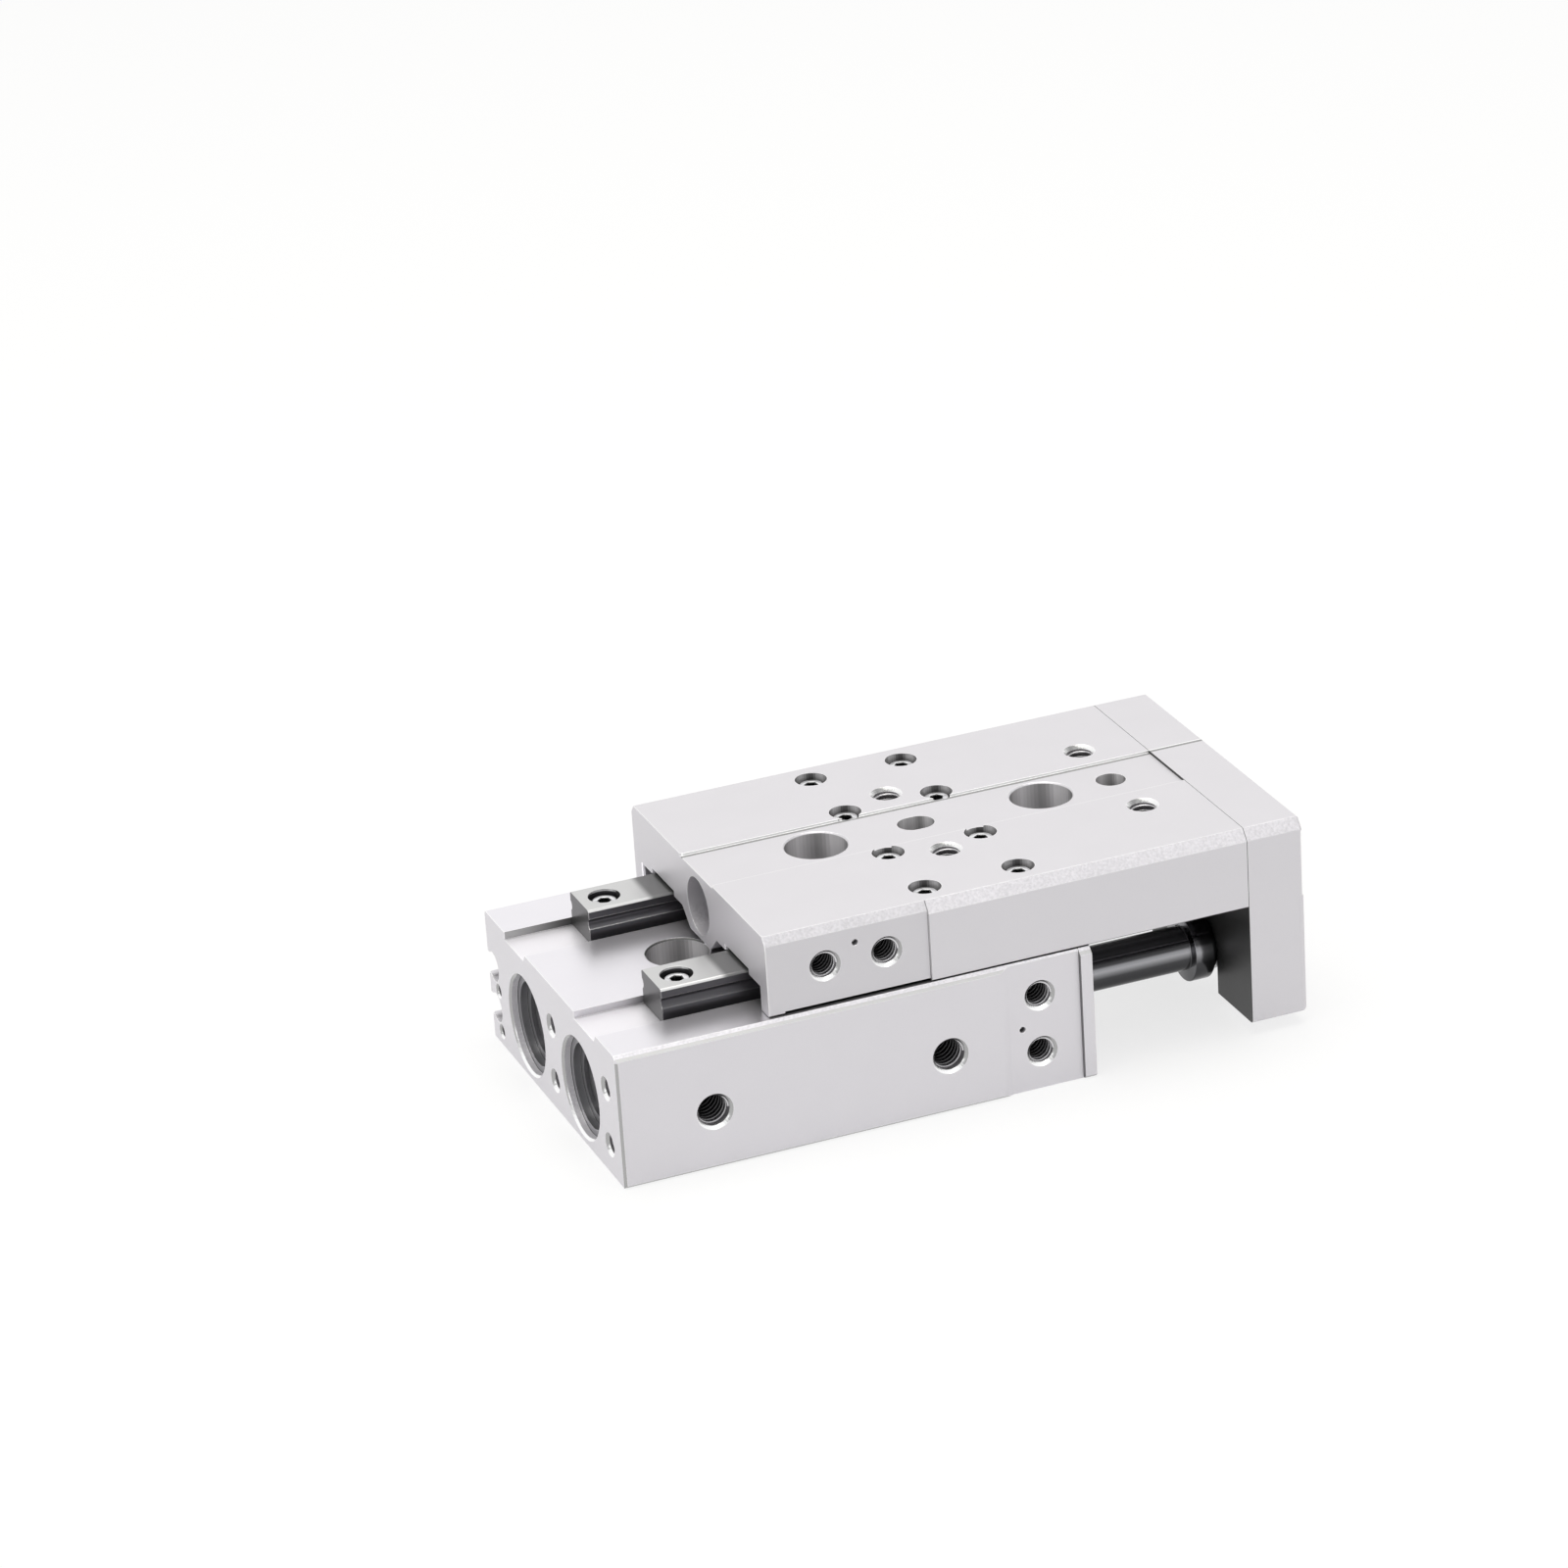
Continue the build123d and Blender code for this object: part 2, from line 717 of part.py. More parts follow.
# Rod glands
x_gland = x_front - gland_length
x_gland_nose = x_gland - gland_nose_length
x_gland_groove = x_gland + gland_groove_start
gland_radius = bore_radius - seat_fit
gland_seat = gland_radius - oring_groove_depth
gland_bore = rod_radius + gland_bore_clearance
x_bush_end = x_gland + bush_length
x_seal = x_front - rod_seal_start
x_seal_end = x_seal + rod_seal_length
rod_gland = turned(
    (x_gland_nose, x_gland, gland_nose_radius, gland_bore),
    (x_gland, x_gland_groove, gland_radius, bush_radius + seat_fit),
    (x_gland_groove, x_gland_groove + oring_groove_width, gland_seat, bush_radius + seat_fit),
    (x_gland_groove + oring_groove_width, x_seal, gland_radius, bush_radius + seat_fit),
    (x_seal, x_seal_end, gland_radius, rod_seal_radius + seat_fit),
    (x_seal_end, x_front - gland_flange_length, gland_radius, wiper_radius + seat_fit),
    (x_front - gland_flange_length, x_front, gland_flange_radius, wiper_radius + seat_fit),
)
for side, place in zip(("back", "front"), bore_places):
    with BuildPart() as rod_gland_here:
        with Locations(place):
            add(rod_gland)
    rod_gland_here.part.label = f"rod_gland_{side}"
    export_step(rod_gland_here.part, f"parts/rod_gland_{side}.step")

with BuildPart() as gland_o_rings:
    for y, z in bore_axes:
        with Locations(Location((x_gland_groove + oring_groove_width / 2, y, z), (0, 90, 0))):
            Torus(oring_path_radius, oring_radius)
gland_o_rings.part.label = "gland_o_rings"
export_step(gland_o_rings.part, "parts/gland_o_rings.step")

with BuildPart() as rod_bushes:
    add(on_both_bores(turned((x_gland, x_bush_end, bush_radius, rod_radius + running_clearance))))
rod_bushes.part.label = "rod_bushes"
export_step(rod_bushes.part, "parts/rod_bushes.step")

with BuildPart() as rod_seals:
    add(on_both_bores(turned((x_seal, x_seal_end, rod_seal_radius, rod_radius + seal_clearance))))
rod_seals.part.label = "rod_seals"
export_step(rod_seals.part, "parts/rod_seals.step")

with BuildPart() as rod_wipers:
    add(on_both_bores(turned((x_front - wiper_length, x_front, wiper_radius, rod_radius + seal_clearance))))
rod_wipers.part.label = "rod_wipers"
export_step(rod_wipers.part, "parts/rod_wipers.step")

# Table
half_table = table_width / 2
leg_inside = half_table - leg_thickness
roof_over_rail = rail_top + rail_roof_gap
low_roof = roof_over_rail - low_roof_drop
boss_bottom = body_height + boss_bottom_gap
roof_inner = rail_spacing / 2 - rail_width / 2 - rail_side_gap
roof_outer = rail_spacing / 2 + rail_width / 2 + rail_side_gap
table_half_profile = [
    (0, boss_bottom),
    (boss_half_width, boss_bottom),
    (boss_shoulder, low_roof),
    (roof_inner, low_roof),
    (roof_inner, roof_over_rail),
    (roof_outer, roof_over_rail),
    (roof_outer, low_roof),
    (leg_inside, low_roof),
    (leg_inside, leg_bottom),
    (half_table - leg_chamfer, leg_bottom),
    (half_table, leg_bottom + leg_chamfer),
    (half_table, table_top - table_chamfer_z),
    (half_table - table_chamfer_y, table_top),
    (groove_width / 2, table_top),
    (groove_width / 2, table_top - groove_depth),
]
mirrored_profile = [(-y, z) for y, z in reversed(table_half_profile[1:])]
block_bolts = [
    (x_block + i * block_bolt_pitch_x / 2, rail_y + j * block_bolt_pitch_y / 2)
    for i in (-1, 1)
    for j in (-1, 1)
    for rail_y in rail_lines
]
x_work = [x_block + work_hole_first + i * work_hole_pitch_x for i in (0, 1)]
work_holes = [(x, side * work_hole_pitch_y / 2) for x in x_work for side in (-1, 1)]
access_xs = [x + stroke for x, y in base_bolts]
block_screw_top = table_top - block_screw_sink
block_screw_seat = block_screw_top - block_screw_head_height
plate_screw_outer_y = half_table - plate_screw_edge
plate_screw_ys = [side * y for y in (plate_screw_inner_y, plate_screw_outer_y) for side in (-1, 1)]
plate_screw_height = table_top - plate_screw_wall - plate_screw_head_radius - bolt_clearance
plate_screw_x = x_plate_front - plate_screw_sink
plate_screw_seat = plate_screw_x - plate_screw_head_height
pocket_half_x = half_block + pocket_clearance
pocket_half_y = block_width / 2 + pocket_clearance
groove_floor = table_top - groove_depth
work_depth = table_roof - work_floor
rear_recess_height = (boss_bottom + groove_floor) / 2 - rear_recess_drop

with BuildPart() as table:
    with BuildSketch(Plane.YZ.offset(x_table_rear)):
        with BuildLine():
            Polyline(*table_half_profile, *mirrored_profile, close=True)
        make_face()
    extrude(amount=table_length)
    chamfer(table.faces().sort_by(Axis.X)[0].edges().filter_by(Axis.Z), body_edge_chamfer)
    with BuildSketch(Plane.XY.offset(block_top)):
        with Locations(*[(x_block, rail_y) for rail_y in rail_lines]):
            Rectangle(2 * pocket_half_x, 2 * pocket_half_y)
    extrude(amount=body_height - block_top, mode=Mode.SUBTRACT)
    with BuildSketch(Plane.XZ.offset(half_table)):
        with Locations((x_table_rear, table_top)):
            Rectangle(2 * table_pad_length, 2 * table_top)
    extrude(amount=-table_pad_depth, mode=Mode.SUBTRACT)
    with BuildSketch(Plane.XY.offset(leg_bottom)):
        with Locations((x_table_rear + foot_length, -half_table)):
            Rectangle(table_pad_length - foot_length, leg_thickness, align=(Align.MIN, Align.MIN))
    extrude(amount=leg_relief, mode=Mode.SUBTRACT)
    access_points = [(x, 0) for x in access_xs]
    extrude(discs(Plane.XY, access_points, counterbore_radius), amount=table_top, mode=Mode.SUBTRACT)
    with Locations(*[facing(x, y, groove_floor, "+Z") for x, y in access_points]):
        add(counterbore_rim, mode=Mode.SUBTRACT)
    work_places = [facing(x, y, table_top, "+Z") for x, y in work_holes]
    tapped(work_places, m4_tap_radius, m4_mouth_radius, work_depth)
    with BuildSketch(Plane.XY.offset(groove_floor)):
        with Locations((x_work[0], 0)):
            SlotOverall(dowel_slot_length, 2 * dowel_radius)
        with Locations((x_work[1], 0)):
            Circle(dowel_radius)
    extrude(amount=-dowel_depth, mode=Mode.SUBTRACT)
    extrude(
        discs(Plane.XY.offset(table_top), block_bolts, block_screw_head_radius + bolt_clearance),
        amount=block_screw_seat - table_top,
        mode=Mode.SUBTRACT,
    )
    extrude(
        discs(Plane.XY.offset(block_top), block_bolts, block_screw_radius + pocket_clearance),
        amount=table_top - block_top,
        mode=Mode.SUBTRACT,
    )
    extrude(
        discs(Plane.YZ.offset(x_table_rear), [(0, rear_recess_height)], rear_recess_radius),
        amount=rear_recess_depth,
        mode=Mode.SUBTRACT,
    )
    side_y = -half_table + table_pad_depth
    last_pad_hole = x_block - pocket_half_x - table_pad_hole_wall - m4_tap_radius
    table_pad_hole_height = low_roof + table_pad_hole_rise
    side_xs = [last_pad_hole - i * table_pad_hole_spacing for i in (1, 0)]
    side_places = [facing(x, side_y, table_pad_hole_height, "-Y") for x in side_xs]
    tapped(side_places, m4_tap_radius, m4_mouth_radius, m4_tap_depth)
    dimple_x = last_pad_hole - table_pad_hole_spacing / 2
    with Locations(facing(dimple_x, side_y, table_pad_hole_height + dimple_rise, "-Y")):
        add(dimple, mode=Mode.SUBTRACT)
    extrude(
        discs(
            Plane.YZ.offset(x_table_front),
            [(y, plate_screw_height) for y in plate_screw_ys],
            plate_screw_radius + thread_clearance,
        ),
        amount=plate_screw_seat - plate_screw_length - bolt_clearance - x_table_front,
        mode=Mode.SUBTRACT,
    )
table.part.label = "table"
export_step(table.part, "parts/table.step")

# End plate
tool_holes = [
    (side * (half_table - tool_hole_edge), end_plate_bottom + tool_hole_low + row * tool_hole_spacing_z)
    for side in (-1, 1)
    for row in (0, 1)
]
x_web_front = x_plate_front - nut_pocket_depth
with BuildPart() as end_plate:
    with BuildSketch(Plane.YZ.offset(x_table_front)):
        with BuildLine():
            Polyline(
                (-half_table + end_plate_chamfer, end_plate_bottom),
                (half_table - end_plate_chamfer, end_plate_bottom),
                (half_table, end_plate_bottom + end_plate_chamfer),
                (half_table, table_top - table_chamfer_z),
                (half_table - table_chamfer_y, table_top),
                (-half_table + table_chamfer_y, table_top),
                (-half_table, table_top - table_chamfer_z),
                (-half_table, end_plate_bottom + end_plate_chamfer),
                close=True,
            )
        make_face()
        with Locations(*bore_axes):
            Circle(rod_slot_width / 2, mode=Mode.SUBTRACT)
        with Locations(*[(y, z / 2) for y, z in bore_axes]):
            Rectangle(rod_slot_width, bore_height, mode=Mode.SUBTRACT)
    extrude(amount=end_plate_thickness)
    chamfer(end_plate.faces().sort_by(Axis.X)[-1].outer_wire().edges(), body_edge_chamfer)
    extrude(
        discs(Plane.YZ.offset(x_plate_front), bore_axes, nut_pocket_radius),
        amount=-nut_pocket_depth,
        mode=Mode.SUBTRACT,
    )
    head_points = [(y, plate_screw_height) for y in plate_screw_ys]
    extrude(
        discs(Plane.YZ.offset(x_plate_front), head_points, plate_screw_head_radius + bolt_clearance),
        amount=plate_screw_seat - x_plate_front,
        mode=Mode.SUBTRACT,
    )
    extrude(
        discs(Plane.YZ.offset(x_table_front), head_points, plate_screw_radius + pocket_clearance),
        amount=end_plate_thickness,
        mode=Mode.SUBTRACT,
    )
    tapped(
        [facing(x_plate_front, y, z, "+X") for y, z in tool_holes],
        m4_tap_radius,
        m4_mouth_radius,
        m4_tap_depth,
    )
end_plate.part.label = "end_plate"
export_step(end_plate.part, "parts/end_plate.step")

# Screws from the end plate into the table
plate_screw = socket_screw(
    plate_screw_head_radius,
    plate_screw_head_height,
    plate_screw_radius,
    plate_screw_length,
    key_m3,
    key_m3_depth,
)
with BuildPart() as end_plate_screws:
    with Locations(*[facing(plate_screw_x, y, plate_screw_height, "+X") for y in plate_screw_ys]):
        add(plate_screw)
end_plate_screws.part.label = "end_plate_screws"
export_step(end_plate_screws.part, "parts/end_plate_screws.step")

# Guide blocks
channel_half = rail_width / 2 + block_side_gap
block_bottom = leg_bottom
x_steel = x_block - block_steel_length / 2
return_row_out = ball_out + ball_row_spacing


def block_section(x_start, grow):
    """The block's section, its channel and both ball rows opened out by a margin."""
    with BuildSketch(Plane.YZ.offset(x_start)) as sketch:
        with Locations((0, (block_bottom + block_top) / 2)):
            Rectangle(block_width, block_top - block_bottom)
        with Locations((0, (block_bottom + rail_top + rail_to_block_gap) / 2)):
            Rectangle(
                2 * (channel_half + grow),
                rail_top + rail_to_block_gap + grow - block_bottom,
                mode=Mode.SUBTRACT,
            )
    return sketch.sketch


def make_block():
    """The steel body of one guide block, for a rail on Y = 0."""
    with BuildPart() as block:
        extrude(block_section(x_steel, 0), amount=block_steel_length)
        rows = [(side * ball_out, ball_z) for side in (-1, 1)]
        returns = [(side * return_row_out, ball_z) for side in (-1, 1)]
        extrude(
            discs(Plane.YZ.offset(x_steel), rows, groove_radius),
            amount=block_steel_length,
            mode=Mode.SUBTRACT,
        )
        extrude(
            discs(Plane.YZ.offset(x_steel), returns, groove_radius),
            amount=block_steel_length,
            mode=Mode.SUBTRACT,
        )
        taps = [
            (x_block + i * block_bolt_pitch_x / 2, j * block_bolt_pitch_y / 2)
            for i in (-1, 1)
            for j in (-1, 1)
        ]
        extrude(
            discs(Plane.XY.offset(block_top), taps, block_screw_radius + thread_clearance),
            amount=-block_thread_depth - bolt_clearance,
            mode=Mode.SUBTRACT,
        )
    return block.part


def make_end_caps():
    """The plastic caps at both ends of one guide block."""
    with BuildPart() as caps:
        extrude(block_section(x_steel - end_cap_length, end_cap_relief), amount=end_cap_length)
        extrude(block_section(x_steel + block_steel_length, end_cap_relief), amount=end_cap_length)
    return caps.part


def make_end_seals():
    """The rubber scrapers outside the caps of one guide block."""
    x_far = x_steel + block_steel_length + end_cap_length
    with BuildPart() as seals:
        extrude(block_section(x_steel - end_cap_length - end_seal_length, 0), amount=end_seal_length)
        extrude(block_section(x_far, 0), amount=end_seal_length)
    return seals.part


def make_balls():
    """The loaded and returning balls of one guide block."""
    count = int(block_steel_length // ball_pitch)
    first = x_block - (count - 1) * ball_pitch / 2
    places = [
        (first + i * ball_pitch, side * out, ball_z)
        for i in range(count)
        for side in (-1, 1)
        for out in (ball_out, return_row_out)
    ]
    with BuildPart() as balls:
        with Locations(*places):
            Sphere(ball_diameter / 2)
    return balls.part


guide_block = make_block()
end_caps = make_end_caps()
end_seals = make_end_seals()
guide_balls = make_balls()
for side, rail_y in zip(("back", "front"), rail_lines):
    for name, piece in (
        ("guide_block", guide_block),
        ("block_end_caps", end_caps),
        ("block_end_seals", end_seals),
        ("guide_balls", guide_balls),
    ):
        with BuildPart() as guide_piece:
            with Locations((0, rail_y, 0)):
                add(piece)
        guide_piece.part.label = f"{name}_{side}"
        export_step(guide_piece.part, f"parts/{name}_{side}.step")

# Screws from the table into the guide blocks
block_screw = socket_screw(
    block_screw_head_radius,
    block_screw_head_height,
    block_screw_radius,
    block_screw_seat - block_top + block_thread_depth,
    key_m2,
    key_m2_low_depth,
)
with BuildPart() as guide_block_screws:
    with Locations(*[(x, y, block_screw_top) for x, y in block_bolts]):
        add(block_screw)
guide_block_screws.part.label = "guide_block_screws"
export_step(guide_block_screws.part, "parts/guide_block_screws.step")

# Piston rods
x_piston_front = x_gland_nose - piston_stop_clearance - bumper_length
x_piston = x_piston_front - piston_length
x_collar = x_nose - collar_pocket_depth + stroke + stop_clearance
x_stud_end = x_web_front + washer_thickness + rod_nut_height + pocket_clearance
neck_radius = rod_slot_width / 2 - float_bush_clearance
piston_rod = turned(
    (x_piston - rod_tail_overhang, x_piston_front, rod_tail_radius, 0),
    (x_piston_front, x_collar, rod_radius, 0),
    (x_collar, x_table_front, collar_radius, 0),
    (x_table_front, x_web_front - float_bush_clearance, neck_radius, 0),
    (x_web_front - float_bush_clearance, x_stud_end, rod_thread_radius, 0),
)
for side, place in zip(("back", "front"), bore_places):
    with BuildPart() as piston_rod_here:
        with Locations(place):
            add(piston_rod)
    piston_rod_here.part.label = f"piston_rod_{side}"
    export_step(piston_rod_here.part, f"parts/piston_rod_{side}.step")

# Pistons and what they carry
piston_radius = bore_radius - piston_clearance
tail_bore = rod_tail_radius + thread_clearance
x_seal_groove = x_piston_front - seal_inset - seal_width
x_magnet = x_piston + magnet_inset
x_wear = x_magnet + magnet_width + wear_ring_gap
piston = turned(
    (x_piston, x_magnet, piston_radius, tail_bore),
    (x_magnet, x_magnet + magnet_width, ring_groove_radius, tail_bore),
    (x_magnet + magnet_width, x_wear, piston_radius, tail_bore),
    (x_wear, x_wear + wear_ring_width, ring_groove_radius, tail_bore),
    (x_wear + wear_ring_width, x_seal_groove, piston_radius, tail_bore),
    (x_seal_groove, x_seal_groove + seal_width, ring_groove_radius, tail_bore),
    (x_seal_groove + seal_width, x_piston_front, piston_radius, tail_bore),
)
for side, place in zip(("back", "front"), bore_places):
    with BuildPart() as piston_here:
        with Locations(place):
            add(piston)
    piston_here.part.label = f"piston_{side}"
    export_step(piston_here.part, f"parts/piston_{side}.step")

groove_inner = ring_groove_radius + thread_clearance
seal_outer = bore_radius - seal_clearance
bumper_outer = gland_nose_radius - bumper_clearance
for name, start, length, outer, inner in (
    ("piston_magnets", x_magnet, magnet_width, magnet_outer_radius, groove_inner),
    ("piston_wear_rings", x_wear, wear_ring_width, seal_outer, groove_inner),
    ("piston_seals", x_seal_groove, seal_width, seal_outer, groove_inner),
    ("piston_bumpers", x_piston_front, bumper_length, bumper_outer, rod_radius + thread_clearance),
):
    with BuildPart() as ring_pair:
        add(on_both_bores(turned((start, start + length, outer, inner))))
    ring_pair.part.label = name
    export_step(ring_pair.part, f"parts/{name}.step")

# Nuts behind the pistons and in front of the end plate
x_piston_nut = x_piston - piston_nut_height
x_rod_nut = x_web_front + washer_thickness
for name, x_nut, across_flats, height, hole in (
    ("piston_nuts", x_piston_nut, piston_nut_across_flats, piston_nut_height, rod_tail_radius),
    ("rod_nuts", x_rod_nut, rod_nut_across_flats, rod_nut_height, rod_thread_radius),
):
    with BuildPart() as nut_pair:
        with Locations(*[Location((x_nut, y, z)) for y, z in bore_axes]):
            add(hex_nut(across_flats, height, hole + thread_clearance))
    nut_pair.part.label = name
    export_step(nut_pair.part, f"parts/{name}.step")

with BuildPart() as rod_washers:
    washer = turned(
        (x_web_front, x_web_front + washer_thickness, washer_radius, rod_thread_radius + thread_clearance)
    )
    add(on_both_bores(washer))
rod_washers.part.label = "rod_washers"
export_step(rod_washers.part, "parts/rod_washers.step")
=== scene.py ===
# %% [markdown]
# # A pneumatic slide table
# A slide table is a small air cylinder and a linear guide in one block. Two pistons push two rods, the
# rods push an end plate, and the end plate carries a table that runs on ball guides. The real one is
# almost all clear anodised aluminium, so the picture lives from very small things: eased edges, threads
# in the tapped holes, screw heads sunk in their holes and two dark steel rails.
#
# The solids come from the frame, already at their real size and place. This lesson eases their edges,
# cuts threads, makes proper screws and gives each surface its finish.

# %% Load the frame
import json
from math import cos, pi, radians, sin

import bmesh
import bpy
from mathutils import Matrix, Vector


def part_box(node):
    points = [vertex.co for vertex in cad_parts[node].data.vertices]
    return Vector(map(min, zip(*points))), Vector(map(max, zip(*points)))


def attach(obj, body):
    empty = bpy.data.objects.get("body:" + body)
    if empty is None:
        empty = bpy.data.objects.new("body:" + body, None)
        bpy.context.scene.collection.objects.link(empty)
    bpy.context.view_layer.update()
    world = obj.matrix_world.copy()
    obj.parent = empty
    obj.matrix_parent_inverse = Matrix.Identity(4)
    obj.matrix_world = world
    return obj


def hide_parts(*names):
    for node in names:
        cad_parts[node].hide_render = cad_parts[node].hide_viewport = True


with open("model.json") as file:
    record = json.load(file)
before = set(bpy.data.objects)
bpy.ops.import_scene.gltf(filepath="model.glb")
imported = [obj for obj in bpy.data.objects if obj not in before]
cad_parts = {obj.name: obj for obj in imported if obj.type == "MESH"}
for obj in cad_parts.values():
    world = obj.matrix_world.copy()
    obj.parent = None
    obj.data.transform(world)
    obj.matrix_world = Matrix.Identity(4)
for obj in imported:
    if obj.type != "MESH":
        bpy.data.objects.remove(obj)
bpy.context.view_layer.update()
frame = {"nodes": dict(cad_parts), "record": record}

MM = 0.001
scene = bpy.context.scene
nodes = frame["nodes"]
print("nodes in the frame:", len(nodes))

# %% [markdown]
# ## The camera
# The photograph was taken with a long lens from the front left, a little above the table, and the camera
# was tipped slightly to the right. A camera is a place, a direction to look in and a roll about that
# direction, so it is built from three angles: its own right, up and backward directions fill the
# columns of its matrix.

# %% Camera
PHOTO_PIXELS = 1600
FOCAL_PIXELS = 5998
SENSOR_WIDTH = 36.0
CAMERA_PLACE = Vector((-240.62, -649.83, 344.94)) * MM
CAMERA_AZIMUTH = radians(-20.332)
CAMERA_ELEVATION = radians(23.838)
CAMERA_ROLL = radians(-3.809)

backward = Vector(
    (
        sin(CAMERA_AZIMUTH) * cos(CAMERA_ELEVATION),
        -cos(CAMERA_AZIMUTH) * cos(CAMERA_ELEVATION),
        sin(CAMERA_ELEVATION),
    )
)
level_right = Vector((cos(CAMERA_AZIMUTH), sin(CAMERA_AZIMUTH), 0))
level_up = backward.cross(level_right)
right = level_right * cos(CAMERA_ROLL) + level_up * sin(CAMERA_ROLL)
up = backward.cross(right)

camera_data = bpy.data.cameras.new("camera")
camera_data.sensor_width = SENSOR_WIDTH
camera_data.lens = FOCAL_PIXELS / PHOTO_PIXELS * SENSOR_WIDTH
camera_data.clip_start = 0.01
camera_data.clip_end = 20
camera = bpy.data.objects.new("camera", camera_data)
camera.matrix_world = Matrix.Translation(CAMERA_PLACE) @ Matrix((right, up, backward)).transposed().to_4x4()
scene.collection.objects.link(camera)
scene.camera = camera
print("lens", round(camera_data.lens, 1), "mm")

# %% [markdown]
# ## The studio
# A white floor and a white world stand for the seamless paper of a product shot. What the camera and the
# reflections see of them is plain white. What lights the object is weaker, so that its pale surfaces keep
# their tone. One wide lamp hangs above, a second is placed where the long chamfers mirror it into the
# camera, and a third stands at the rear left. Materials are trees of nodes, and the short functions that
# come first make such nodes and join them.

# %% Helpers for node trees
def node(tree, kind, inputs=None, **settings):
    """A new node with its properties set. Each input is filled with a value or linked to a socket."""
    made = tree.nodes.new(kind)
    for key, value in settings.items():
        setattr(made, key, value)
    for label, value in (inputs or {}).items():
        if isinstance(value, bpy.types.NodeSocket):
            tree.links.new(value, made.inputs[label])
        else:
            made.inputs[label].default_value = value
    return made


def maths(tree, operation, *values, clamp=False):
    """A Math node on sockets or numbers; returns its output socket."""
    inputs = dict(enumerate(values))
    return node(tree, "ShaderNodeMath", inputs, operation=operation, use_clamp=clamp).outputs[0]


def remap(tree, value, from_low, from_high, to_low, to_high, **settings):
    """A value moved from one range to another."""
    inputs = {"Value": value, "From Min": from_low, "From Max": from_high}
    inputs |= {"To Min": to_low, "To Max": to_high}
    return node(tree, "ShaderNodeMapRange", inputs, **settings).outputs["Result"]


def grey(tone):
    """A neutral colour."""
    return (tone, tone, tone, 1)


def mix_colors(tree, share, first, second):
    """A share of the second colour over the first."""
    inputs = {"Factor": share, "A": first, "B": second}
    return node(tree, "ShaderNodeMix", inputs, data_type="RGBA").outputs["Result"]


def scaled(tree, color, gain):
    """A colour times a number."""
    return node(tree, "ShaderNodeVectorMath", {0: color, "Scale": gain}, operation="SCALE").outputs[0]


def place_of(tree):
    """The X, Y and Z of a point's place in its object's space, in metres."""
    place = node(tree, "ShaderNodeTexCoord").outputs["Object"]
    return node(tree, "ShaderNodeSeparateXYZ", {0: place}).outputs


def facing_of(tree, normal="True Normal"):
    """The X, Y and Z of the direction in which a face looks."""
    direction = node(tree, "ShaderNodeNewGeometry").outputs[normal]
    return node(tree, "ShaderNodeSeparateXYZ", {0: direction}).outputs


def tone_curve(tree, value, stops):
    """A colour that follows a value from 0 to 1 through stops of (position, colour)."""
    ramp = node(tree, "ShaderNodeValToRGB", {"Fac": value})
    elements = ramp.color_ramp.elements
    elements[0].position, elements[1].position = 0.0, 1.0
    for position, color in stops:
        at_end = elements[0] if position == 0 else elements[-1] if position == 1 else None
        element = at_end or elements.new(position)
        element.color = color
    return ramp.outputs["Color"]


# %% World and floor
AMBIENT_STRENGTH = 0.575
PAPER_TONE = 0.94
FLOOR_SIZE = 8.0
FLOOR_SHADOW_SHARE = 0.25


def seen_directly(tree):
    """1 for camera, glossy and transmission rays, and 0 for the light that reaches a surface."""
    path = node(tree, "ShaderNodeLightPath").outputs
    seen = maths(tree, "MAXIMUM", path["Is Camera Ray"], path["Is Glossy Ray"])
    return maths(tree, "MAXIMUM", seen, path["Is Transmission Ray"])


world = bpy.data.worlds.new("white_room")
world.use_nodes = True
scene.world = world
world_tree = world.node_tree
background = world_tree.nodes["Background"]
background.inputs["Color"].default_value = grey(1)
strength = remap(world_tree, seen_directly(world_tree), 0.0, 1.0, AMBIENT_STRENGTH, 1.0)
world_tree.links.new(strength, background.inputs["Strength"])

floor_material = bpy.data.materials.new("white_paper")
floor_material.use_nodes = True
floor_tree = floor_material.node_tree
floor_tree.nodes.clear()
paper = node(floor_tree, "ShaderNodeBsdfDiffuse", {"Color": grey(PAPER_TONE)})
glow = node(floor_tree, "ShaderNodeEmission", {"Strength": 1.0})
share = maths(floor_tree, "MULTIPLY", seen_directly(floor_tree), 1 - FLOOR_SHADOW_SHARE)
mixed = node(floor_tree, "ShaderNodeMixShader", {"Fac": share, 1: paper.outputs[0], 2: glow.outputs[0]})
node(floor_tree, "ShaderNodeOutputMaterial", {"Surface": mixed.outputs[0]})

floor_mesh = bpy.data.meshes.new("floor")
half = FLOOR_SIZE / 2
floor_corners = [(-half, -half, 0), (half, -half, 0), (half, half, 0), (-half, half, 0)]
floor_mesh.from_pydata(floor_corners, [], [(0, 1, 2, 3)])
floor_mesh.materials.append(floor_material)
floor = bpy.data.objects.new("floor", floor_mesh)
scene.collection.objects.link(floor)
print("floor", FLOOR_SIZE, "m wide")

# %% Lamps
OBJECT_CENTRE = Vector((14, 0, 15)) * MM
WARM_WHITE = (1.0, 0.985, 0.93)


def area_lamp(name, place, size, power, color=(1, 1, 1)):
    """A square lamp that points at the object's centre."""
    data = bpy.data.lights.new(name, "AREA")
    data.shape = "SQUARE"
    data.size = size
    data.color = color
    data.energy = power
    lamp = bpy.data.objects.new(name, data)
    lamp.location = place
    lamp.rotation_euler = (OBJECT_CENTRE - place).to_track_quat("-Z", "Y").to_euler()
    scene.collection.objects.link(lamp)
    return lamp


